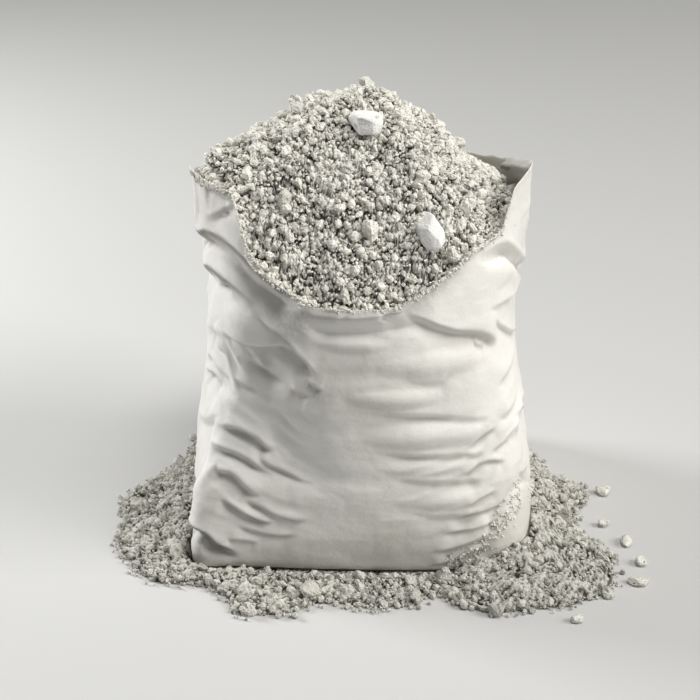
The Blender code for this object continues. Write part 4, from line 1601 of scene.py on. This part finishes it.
@dataclass
class CementHeap:
    """The cement in the sack's mouth: a heap with a grainy top, and loose crumbs of all sizes on it.

    The skyline and the clods are in the picture's pixels, and a clod's third number is its half size. The
    crumb cover is how far the crumbs on the crest stand above the bed there, in pixels. A fade or a blend is
    where it starts and over how far it goes.
    """

    sack: PaperSack
    crumbs: CrumbBox
    camera: PhotoCamera
    skyline: tuple[Pair, ...] = (
        (205, 149), (211, 145), (233, 138), (245, 130), (258, 122), (272, 116), (294, 106), (303, 98),
        (312, 92), (325, 89), (335, 94), (345, 87), (355, 82), (372, 83), (384, 85), (391, 90),
        (398, 98), (419, 106), (433, 113), (441, 122), (449, 131), (455, 139), (463, 149),
    )
    clods: tuple[Triple, ...] = (
        (295, 173, 13), (343, 210, 10), (310, 181, 8), (290, 255, 11), (342, 252, 9), (395, 200, 9),
        (415, 252, 9), (426, 259, 8), (497, 202, 8), (404, 216, 8), (443, 219, 10), (461, 194, 8),
        (412, 162, 9), (325, 94, 10), (268, 160, 9), (385, 137, 8), (452, 170, 9), (303, 232, 8),
        (372, 286, 7), (340, 281, 9), (258, 190, 8),
    )
    scatters: tuple[Scatter, ...] = (
        Scatter("heap_lumps", CrumbSize.LUMP, 90, 0.0048, 0.0096, 0.95, 10),
        Scatter("heap_crumbs", CrumbSize.CRUMB, 3000, 0.0018, 0.0055, 0.72, 11),
        Scatter("heap_grit", CrumbSize.GRIT, 10000, 0.0009, 0.0020, 0.80, 9),
    )
    crumb_sink: float = 0.0010
    cells: int = 300
    below_rim: float = 0.003
    highest_edge: float = 0.372
    wall_gap: float = 0.0006
    pocket_fade: Pair = (0.105, 0.030)
    pocket_floor: float = 0.340
    edge_blend: Pair = (0.86, 0.14)
    crest_fade: Pair = (0.098, 0.03)
    crest_across: tuple[float, float, int] = (-0.145, 0.100, 82)
    crest_along: tuple[float, float, int] = (-0.03, 0.13, 65)
    crest_spread: float = 0.040
    crest_rounds: int = 4
    crumb_cover: float = 5.5
    clod_height: float = 0.56
    clod_waver: float = 0.22
    clod_cell: float = 0.008
    more_clods: int = 110
    clod_sizes: Pair = (0.004, 0.0090)
    clod_reach: float = 0.88
    read_spacing: float = 0.003
    read_share: float = 0.92
    seat_rounds: int = 120
    facet_rounds: int = 3
    lump_margin: float = 0.004
    bed_reach: float = 0.985
    rim_calm: float = 0.03
    skirt: float = 0.012
    skirt_inset: float = 0.91

    def prepare(self) -> None:
        """Reads the heap's peak from the frame and its edge from the sack, then fits its crest and clods."""
        corners = np.array([v.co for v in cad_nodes["cement_fill"].data.vertices])
        self.peak = corners[np.argmax(corners[:, 2])]
        self.find_edge()
        self.read_top()
        self.crest = np.array(((0.0, 1.0), (0.0, 0.0), (0.0, 0.0)))
        self.clod_spots = np.zeros((0, 3))
        self.fit_skyline()
        self.place_clods()

    def find_edge(self) -> None:
        """Finds where the heap meets the inside of the sack, all the way round."""
        wall, rim = self.sack.wall[:, :-1], self.sack.rim[:-1]
        inner = wall - grid_normals(self.sack.wall)[:, :-1] * (self.sack.paper + self.wall_gap)
        edge = np.minimum(rim - self.below_rim, self.highest_edge)
        pocket = past(wall[-1, :, 0], *self.pocket_fade)
        edge += (np.minimum(self.pocket_floor, edge) - edge) * pocket
        rows = np.argmin(np.abs(wall[..., 2] - edge[None]), axis=0)
        picked = inner[rows, np.arange(wall.shape[1])]
        picked[:, 2] = edge
        self.outline = Outline.of(picked, (float(self.peak[0]), float(self.peak[1])))

    def read_top(self) -> None:
        """Reads the top of the frame's heap on a level grid, fills the lumps' seats, and evens its facets."""
        surface = Surface("cement_fill")
        low, high = (np.array(corner)[:2] for corner in (surface.low, surface.high))
        low, high = low - self.read_spacing, high + self.read_spacing
        self.grid = [np.arange(low[k], high[k], self.read_spacing) for k in range(2)]
        spots = np.stack(np.meshgrid(*self.grid, indexing="ij"), axis=-1)
        flat = spots.reshape(-1, 2)
        pull = np.minimum(1.0, self.read_share / np.maximum(self.share(flat), 1e-6))
        within = self.peak[:2] + (flat - self.peak[:2]) * pull[:, None]
        top = np.array([surface.top(x, y) or self.peak[2] for x, y in within]).reshape(spots.shape[:2])
        seats = np.zeros(top.shape, bool)
        for node in ("pale_lump_upper", "pale_lump_lower"):
            corner, far = (np.array(c)[:2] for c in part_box(node))
            middle, half = (corner + far) / 2.0, (far - corner) / 2.0 + self.lump_margin
            seats |= np.sum(((spots - middle) / half) ** 2, axis=-1) < 1.0
        known = top.copy()
        for _ in range(self.seat_rounds):
            around = sum(np.roll(known, turn, axis) for turn in (-1, 1) for axis in (0, 1)) / 4.0
            known = np.where(seats, around, known)
        for _ in range(self.facet_rounds):
            known = sum(np.roll(known, turn, axis) for turn in (-1, 0, 1) for axis in (0, 1)) / 6.0
        self.top = known

    def share(self, spots: Array) -> Array:
        """How far each spot lies from the peak, as a share of the way to the wall."""
        away = spots - self.peak[:2]
        return np.hypot(*away.T) / self.outline.reach(np.arctan2(away[:, 1], away[:, 0]))

    def read_height(self, spots: Array) -> Array:
        """The height of the frame's heap over rows of x and y, between the places of the grid."""
        place = [(spots[:, k] - self.grid[k][0]) / self.read_spacing for k in range(2)]
        i, j = (np.clip(np.floor(place[k]).astype(int), 0, len(self.grid[k]) - 2) for k in range(2))
        u, v = np.clip(place[0] - i, 0.0, 1.0), np.clip(place[1] - j, 0.0, 1.0)
        near = self.top[i, j] * (1.0 - v) + self.top[i, j + 1] * v
        far = self.top[i + 1, j] * (1.0 - v) + self.top[i + 1, j + 1] * v
        return near * (1.0 - u) + far * u

    def height(self, spots: Array) -> Array:
        """The heap's height over rows of x and y, clods included, grains not."""
        level = np.column_stack((spots, spots[:, 0] * 0.0))
        ragged = 1.0 + self.clod_waver * noise(level, self.clod_cell, 67)
        raised = np.zeros(len(spots))
        for x, y, half in self.clod_spots:
            apart = np.hypot(spots[:, 0] - x, spots[:, 1] - y) / half * ragged
            raised = np.maximum(raised, half * self.clod_height * np.maximum(1.0 - apart**2, 0.0))
        return self.ground(spots) + raised

    def ground(self, spots: Array) -> Array:
        """The heap's height over rows of x and y, without its clods and grains."""
        away = spots - self.peak[:2]
        share = np.clip(self.share(spots), 0.0, 1.0)
        edge = self.outline.height(np.arctan2(away[:, 1], away[:, 0]))
        heights = self.read_height(spots)
        heights += (edge - heights) * past(share, *self.edge_blend)
        middle, rise = (np.interp(spots[:, 0], self.crest[0], row) for row in self.crest[1:])
        fade = (1.0 - share**6) * (1.0 - past(spots[:, 0], *self.crest_fade))
        heights += rise * np.exp(-(((spots[:, 1] - middle) / self.crest_spread) ** 2)) * fade
        return heights

    def normals(self, spots: Array) -> Array:
        """Unit normals of the heap's ground over rows of x and y."""
        step = self.read_spacing
        slopes = [
            (self.ground(spots + side) - self.ground(spots - side)) / (2.0 * step)
            for side in (np.array((step, 0.0)), np.array((0.0, step)))
        ]
        normal = np.column_stack((-slopes[0], -slopes[1], np.ones(len(spots))))
        return normal / np.linalg.norm(normal, axis=1, keepdims=True)

    def fit_skyline(self) -> None:
        """Raises or lowers the heap's crest until its top edge runs where the picture shows it."""
        across, along = np.linspace(*self.crest_across), np.linspace(*self.crest_along)
        spots = np.stack(np.meshgrid(across, along, indexing="ij"), axis=-1)
        flat = spots.reshape(-1, 2)
        on_bed = self.share(flat) < self.bed_reach
        self.crest = np.stack((across, across * 0.0, across * 0.0))
        for _ in range(self.crest_rounds):
            seen = self.camera.pixels(np.column_stack((flat, self.height(flat))))
            down = np.where(on_bed, seen[:, 1], np.inf).reshape(spots.shape[:2])
            top = np.argmin(down, axis=1)
            found = seen.reshape(*spots.shape[:2], 2)[np.arange(len(across)), top]
            wanted = np.interp(found[:, 0], *np.array(self.skyline).T) + self.crumb_cover
            rise = (found[:, 1] - wanted) * self.camera.metres_per_pixel()
            rise = running_mean(np.where(np.isfinite(down.min(axis=1)), rise, 0.0), 3)
            self.crest = np.stack((across, running_mean(along[top], 9), self.crest[2] + rise))

    def place_clods(self) -> None:
        """Finds where on the heap each clod of the picture lies, and scatters some more."""
        rng = np.random.default_rng(3)
        spots = self.spread(rng.random((16000, 2)))
        seen = self.camera.pixels(np.column_stack((spots, self.height(spots))))
        found = []
        for x, y, half in self.clods:
            nearest = np.argmin(np.sum((seen - (x, y + half * 0.4)) ** 2, axis=1))
            found.append((*spots[nearest], half * self.camera.metres_per_pixel()))
        more = self.spread(rng.random((self.more_clods, 2)) * (1.0, self.clod_reach))
        found += [(*spot, size) for spot, size in zip(more, rng.uniform(*self.clod_sizes, self.more_clods))]
        self.clod_spots = np.array(found)

    def spread(self, shares: Array) -> Array:
        """Spots spread evenly over the heap, seen from above, from rows of two shares."""
        turns = shares[:, 0] * math.tau - math.pi
        reach = self.outline.reach(turns) * np.sqrt(shares[:, 1]) * self.bed_reach
        return self.peak[:2] + np.column_stack((np.cos(turns), np.sin(turns))) * reach[:, None]

    def build_bed(self, finish: Finish) -> Piece:
        """Builds the heap's body, a round grid with a skirt and a flat underside."""
        bed, _ = flat_sheet("heaped_cement", self.cells, self.cells)
        flat = places_of(bed)[:, :2]
        share = np.max(np.abs(flat), axis=1)
        turns = round_turns(flat)
        away = np.column_stack((np.cos(turns), np.sin(turns)))
        reach = self.outline.reach(turns) * share
        spots = self.peak[:2] + away * reach[:, None]
        middle = tuple(self.peak)
        calm = 0.4 + 0.6 * inside(share, 1.0, self.rim_calm)
        places = np.column_stack((spots, self.height(spots)))
        lifted, tone = CementRelief().read(places, 71)
        set_places(bed, places + self.normals(spots) * (lifted * calm)[:, None])
        # The painted tone is painted shade in the gaps between the grains
        paint(bed, "tone", tone)
        down = {"value": (0.0, 0.0, -self.skirt)}
        narrower = (self.skirt_inset, self.skirt_inset, 1.0)
        edit(
            bed,
            lambda: bpy.ops.mesh.select_non_manifold(),
            lambda: bpy.ops.mesh.extrude_edges_move(TRANSFORM_OT_translate=down),
            lambda: bpy.ops.transform.resize(value=narrower, center_override=middle),
            lambda: bpy.ops.mesh.edge_face_add(),
        )
        settle(bed, "cement", finish, "cement_fill")
        return bed

    def build_crumbs(self, finish: Finish) -> None:
        """Builds the loose crumbs on the heap, from lumps to grit."""
        rng = np.random.default_rng(5)
        for scatter in self.scatters:
            spots, radii = scatter.land(rng, self.spread)
            heights = self.height(spots) - self.crumb_sink + radii * rng.uniform(*scatter.perch, len(radii))
            places = np.column_stack((spots, heights))
            piece = self.crumbs.joined(scatter.name, places, radii, scatter.seed, scatter.size)
            settle(piece, "cement", finish, smooth=False)


def running_mean(values: Array, width: int) -> Array:
    """Evens a row of numbers over a few neighbours, holding its ends."""
    padded = np.pad(values, width // 2, mode="edge")
    return np.convolve(padded, np.ones(width) / width, mode="valid")


def round_turns(flat: Array) -> Array:
    """Directions that turn a square of places into a round of even cells."""
    x, y = flat[:, 0], flat[:, 1]
    wide = np.abs(x) >= np.abs(y)
    safe_x, safe_y = np.where(x == 0.0, 1e-9, x), np.where(y == 0.0, 1e-9, y)
    sideways = np.where(x >= 0.0, 0.0, math.pi) + math.pi / 4.0 * (y / safe_x)
    upright = np.where(y >= 0.0, math.pi / 2.0, -math.pi / 2.0) - math.pi / 4.0 * (x / safe_y)
    turns = np.where(wide, sideways, upright)
    return np.arctan2(np.sin(turns), np.cos(turns))


@dataclass
class Spill:
    """The cement on the floor round the sack: a thin grainy bed, with crumbs on it and past its edge."""

    sack: PaperSack
    crumbs: CrumbBox
    scatters: tuple[Scatter, ...] = (
        Scatter("spill_lumps", CrumbSize.LUMP, 95, 0.0050, 0.0098, 0.95, 11),
        Scatter("spill_crumbs", CrumbSize.CRUMB, 2500, 0.0019, 0.0052, 0.80, 12),
        Scatter("spill_grit", CrumbSize.GRIT, 8500, 0.0009, 0.0020, 0.80, 10),
    )
    columns: int = 620
    top_rows: int = 40
    under_rows: int = 6
    clearance: float = 0.0006
    edge_cell: float = 0.012
    edge_waver: float = 0.004
    low_wall: float = 0.045
    thin_bed: float = 0.0012
    rolls: float = 0.0035
    edge_fade: float = 0.02
    wall_play: float = 0.0008
    gap_turn_start: float = -2.62
    gap_turn_end: float = -0.95
    gap_width: float = 0.014
    strewn: float = 0.010
    crumb_share: float = 0.7
    # Painted shade: the spill's bed and crumbs are painted darker all over
    painted_shade: float = 0.27
    underside_shade: float = 0.7

    def prepare(self) -> None:
        """Reads the bed's edge from the frame, and where the sack's wall stands."""
        self.surface = Surface("spilled_cement")
        turns = np.linspace(-math.pi, math.pi, 721)[:-1]
        reach = np.array([self.surface.reach(t, 0.0005) for t in turns])
        ring = np.column_stack((np.cos(turns), np.sin(turns), turns * 0.0))
        reach += noise(ring * reach[:, None], self.edge_cell, 5) * self.edge_waver
        self.edge = Outline.of(ring * reach[:, None], (0.0, 0.0))
        low_rows = [k for k in range(self.sack.wall_rows) if self.sack.wall[k, 0, 2] < self.low_wall]
        self.walls = [Outline.of(self.sack.wall[k, :-1], (0.0, 0.0)) for k in low_rows]
        self.wall_heights = np.array([self.sack.wall[k, :-1, 2].mean() for k in low_rows])

    def wall_reach(self, turns: Array) -> Array:
        """The wall's reach by height and direction."""
        return np.array([wall.reach(turns) for wall in self.walls])

    def height(self, spots: Array) -> Array:
        """The smooth bed's height over rows of x and y, kept under the sack where it rolls in to its foot."""
        turns = np.arctan2(spots[:, 1], spots[:, 0])
        reach = np.hypot(*spots.T)
        heights = np.zeros(len(spots))
        for k, (x, y) in enumerate(spots):
            found = self.surface.top(x, y)
            heights[k] = self.thin_bed if found is None else found
        walls = self.wall_reach(turns)
        under = walls + self.clearance > reach[None]
        lowest = np.where(under.any(axis=0), self.wall_heights[np.argmax(under, axis=0)], 1.0)
        rolled = layered_noise(np.column_stack((spots, reach * 0.0)), 0.03, 2, 63) * self.rolls
        fade = inside(reach, self.edge.reach(turns), self.edge_fade)
        ahead = inside(turns, self.gap_turn_end, 0.12) * past(turns, self.gap_turn_start, 0.06)
        gap = 1.0 - ahead * (1.0 - eased((reach - walls.max(axis=0) + 0.001) / self.gap_width))
        return np.maximum(
            np.minimum((heights + rolled * fade) * gap, lowest - self.wall_play), self.wall_play
        )

    def build_bed(self, finish: Finish) -> Piece:
        """Builds the bed, a flat tube whose cross-section closes on the floor."""
        rows = self.top_rows + self.under_rows
        bed, order = flat_sheet("spilled_bed", self.columns, rows)
        turns = np.linspace(-math.pi, math.pi, self.columns + 1)
        inner = self.walls[1].reach(turns) + self.clearance
        outer = self.edge.reach(turns)
        on_top = np.linspace(1.0, 0.0, self.top_rows + 1) ** 0.9
        share = np.concatenate((on_top, np.linspace(0.0, 1.0, self.under_rows + 1)[1:]))
        reach = inner[None] + (outer - inner)[None] * share[:, None]
        spots = np.stack((np.cos(turns)[None] * reach, np.sin(turns)[None] * reach), axis=-1)
        flat = spots[: len(on_top)].reshape(-1, 2)
        base = self.height(flat)
        lifted, tone = CementRelief().read(np.column_stack((flat, base)), 171)
        fade = np.repeat(eased(on_top * 8.0) * eased((1.0 - on_top) * 16.0), self.columns + 1)
        top = base + (lifted + self.thin_bed) * fade
        z = np.zeros(spots.shape[:2])
        z[: len(on_top)] = np.maximum(top, self.clearance).reshape(len(on_top), -1)
        z[0] = 0.0
        places = places_of(bed)
        places[order] = np.concatenate((spots, z[..., None]), axis=-1)
        set_places(bed, places)
        # Painted shade: the underside is painted dark, and the top gets the painted shade and the shade in
        # its gaps
        tones = np.full(len(places), self.underside_shade)
        tones[order[: len(on_top)].ravel()] = self.painted_shade + (1.0 - self.painted_shade) * tone
        paint(bed, "tone", tones)
        edit(
            bed,
            lambda: bpy.ops.mesh.select_all(action="SELECT"),
            lambda: bpy.ops.mesh.remove_doubles(threshold=MERGE_DISTANCE),
            lambda: bpy.ops.mesh.normals_make_consistent(inside=False),
        )
        settle(bed, "cement", finish, "spilled_cement")
        return bed

    def spread(self, shares: Array) -> Array:
        """Spots over the bed, from the sack's wall to a little past the edge, from rows of two shares."""
        turns = shares[:, 0] * math.tau - math.pi
        inner = self.wall_reach(turns)[: len(self.walls) // 2].max(axis=0) + 0.002
        strewn = self.strewn * (np.sin(shares[:, 0] * 9973.0) * 0.5 + 0.5) ** 6
        outer = self.edge.reach(turns) + 0.002 + strewn
        reach = np.sqrt(inner**2 + (outer**2 - inner**2) * shares[:, 1])
        return np.column_stack((np.cos(turns), np.sin(turns))) * reach[:, None]

    def build_crumbs(self, finish: Finish) -> None:
        """Builds the crumbs on the bed, and a thin scatter of them past its edge."""
        rng = np.random.default_rng(15)
        for scatter in self.scatters:
            spots, radii = scatter.land(rng, self.spread)
            turns = np.arctan2(spots[:, 1], spots[:, 0])
            raised = radii * rng.uniform(*scatter.perch, len(radii))
            heights = np.maximum(self.height(spots) + raised, radii * 0.5)
            walls = zip(heights, self.wall_reach(turns).T)
            near = np.array([np.interp(height, self.wall_heights, wall) for height, wall in walls])
            ahead = (turns > self.gap_turn_start) & (turns < self.gap_turn_end)
            room = radii * self.crumb_share + self.gap_width * 0.35 * ahead
            clear = np.hypot(*spots.T) - near > room
            places = np.column_stack((spots, heights))[clear]
            piece = self.crumbs.joined(
                scatter.name, places, radii[clear], scatter.seed, scatter.size, self.painted_shade
            )
            settle(piece, "cement", finish, smooth=False)


@dataclass
class ClingingCrumbs:
    """Crumbs that lie along the sack's rim and cling in the fold of its right front corner.

    The corner's path is in picture pixels, and the rim's stretches are across the sheet, in metres, each with
    its number of crumbs.
    """

    sack: PaperSack
    crumbs: CrumbBox
    stretches: tuple[tuple[float, float, int], ...] = (
        (-0.250, -0.190, 90), (-0.190, -0.060, 230), (-0.060, 0.060, 110), (0.045, 0.120, 200),
        (0.120, 0.185, 50),
    )
    corner: tuple[Pair, ...] = ((452, 565), (472, 555), (490, 541), (503, 521), (514, 502), (525, 482))
    corner_count: int = 330
    corner_spread: float = 4.0
    strewn_rows: float = 2.2
    most_rows: float = 5.0
    smallest: float = 0.0006
    largest: float = 0.0018
    sunk: float = 0.35

    def perch(self, rows: Array, columns: Array, radii: Array) -> Array:
        """Places on the outer wall, for crumbs that lie against it there."""
        normals = grid_normals(self.sack.wall)
        return self.sack.wall[rows, columns] + normals[rows, columns] * (radii * self.sunk)[:, None]

    def build(self, finish: Finish) -> None:
        """Builds the crumbs on the rim and those in the corner."""
        rng = np.random.default_rng(25)
        across = self.sack.sheet[-1, :, 0]
        spots = np.concatenate([rng.uniform(low, high, count) for low, high, count in self.stretches])
        columns = np.searchsorted(across, spots)
        below = rng.exponential(self.strewn_rows, len(spots))
        rows = self.sack.wall_rows - np.minimum(below, self.most_rows).astype(int)
        radii = self.smallest + (self.largest - self.smallest) * rng.random(len(spots)) ** 2.0
        places = self.perch(rows, columns, radii)
        piece = self.crumbs.joined("rim_crumbs", places, radii, 31, CrumbSize.CRUMB)
        settle(piece, "cement", finish, smooth=False)
        line = smooth_line(np.array(self.corner, float))
        pixels = line[rng.integers(0, len(line), self.corner_count)]
        pixels = pixels + rng.normal(0.0, self.corner_spread, pixels.shape)
        flat = self.sack.sheet.reshape(-1, 2)
        nearest = [int(np.argmin(np.sum((flat - spot) ** 2, axis=1))) for spot in self.sack.to_sheet(pixels)]
        rows, columns = np.divmod(np.array(nearest), self.sack.sheet.shape[1])
        radii = self.smallest + (self.largest - self.smallest) * rng.random(len(rows)) ** 1.5
        places = self.perch(rows, columns, radii)
        piece = self.crumbs.joined("corner_crumbs", places, radii, 33, CrumbSize.CRUMB)
        settle(piece, "cement", finish, smooth=False)


@dataclass(frozen=True)
class CakeLump:
    """One lump that broke off set cement, with flat broken sides and rounded edges.

    The growth is the share of the node's box that it fills, and the lean its rise towards the back.
    """

    name: str
    node: str
    knocks: int
    seed: int
    level_foot: bool
    growth: Triple = (1.0, 1.0, 1.0)
    shift: Triple = (0.0, 0.0, 0.0)
    lean: float = 0.0
    slant: float = 0.0
    roughness: float = 0.08
    blockiness: float = 0.86
    knock_levels: Pair = (0.52, 0.78)
    flatness: float = 0.96
    pits: int = 6
    pit_sizes: Pair = (0.10, 0.20)
    pit_depth: float = 0.10
    pit_shade: float = 1.2

    def build(self, slot: str, finish: Finish) -> Piece:
        """Breaks a ball to the lump's shape inside the frame's box and joins it to the frame."""
        low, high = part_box(self.node)
        centre, half = (low + high) / 2.0, (high - low) / 2.0
        bpy.ops.object.select_all(action="DESELECT")
        bpy.ops.mesh.primitive_ico_sphere_add(subdivisions=4, radius=1.0)
        lump = bpy.context.active_object
        lump.name = lump.data.name = self.name
        rng = np.random.default_rng(self.seed)
        ball = places_of(lump)
        points = np.sign(ball) * np.abs(ball) ** self.blockiness
        points /= np.linalg.norm(points, axis=1).max()
        for _ in range(self.knocks):
            side = rng.normal(size=3)
            side /= np.linalg.norm(side)
            beyond = np.maximum(points @ side - rng.uniform(*self.knock_levels), 0.0)
            points -= np.outer(beyond, side) * self.flatness
        points *= (1.0 + self.roughness * layered_noise(ball + self.seed, 0.45, 4, self.seed))[:, None]
        tone = 0.10 + 0.30 * np.maximum(layered_noise(ball + self.seed, 0.35, 3, self.seed + 1), 0.0)
        for _ in range(self.pits):
            spot = rng.normal(size=3)
            apart = np.linalg.norm(ball - spot / np.linalg.norm(spot), axis=1)
            pit = np.maximum(1.0 - (apart / rng.uniform(*self.pit_sizes)) ** 2, 0.0)
            points *= (1.0 - self.pit_depth * pit)[:, None]
            # Painted shade in each pit
            tone += self.pit_shade * pit
        points /= np.abs(points).max(axis=0)
        placed = points * np.array(half) * np.array(self.growth) + np.array(centre) + np.array(self.shift)
        placed[:, 2] += self.lean * (placed[:, 1] - centre.y)
        placed[:, 0] += self.slant * (placed[:, 1] - centre.y)
        if self.level_foot:
            placed[:, 2] = np.maximum(placed[:, 2], 0.0)
        set_places(lump, placed)
        paint(lump, "tone", np.clip(tone, 0.0, 1.0))
        settle(lump, slot, finish, self.node)
        return lump


def main() -> None:
    """Builds the studio and the sack, piece by piece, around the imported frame."""
    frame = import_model()
    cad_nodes.update(frame["nodes"])
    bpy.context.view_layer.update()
    camera = PhotoCamera()
    camera.build()
    Studio().build()
    paper = PaperFinish().material()
    cement = CementFinish("cement", CementTone.GREY).material()
    pale = CementFinish("pale_cement", CementTone.PALE, grit=0.0003, gap_shade_and_specks=0.12).material()
    sack = PaperSack()
    sack.build(camera, paper)
    crumbs = CrumbBox()
    heap = CementHeap(sack, crumbs, camera)
    heap.prepare()
    heap.build_bed(cement)
    heap.build_crumbs(cement)
    spill = Spill(sack, crumbs)
    spill.prepare()
    spill.build_bed(cement)
    spill.build_crumbs(cement)
    ClingingCrumbs(sack, crumbs).build(cement)
    upper = CakeLump(
        "pale_cake_upper", "pale_lump_upper", 10, 1, False, (1.02, 1.20, 1.30), (0.0, -0.006, -0.002), 0.10
    )
    upper.build("pale_cement", pale)
    lower = CakeLump(
        "pale_cake_lower", "pale_lump_lower", 8, 2, False,
        (0.92, 1.20, 1.25), (0.0, -0.005, -0.003), 0.35, -0.40,
    )
    lower.build("pale_cement", pale)
    for k in range(1, 7):
        CakeLump(f"rolled_lump_{k}", f"stray_lump_{k}", 7, 10 + k, True).build("cement", cement)


if __name__ == "__main__":
    logging.basicConfig(level=logging.INFO, format="%(message)s")
    main()
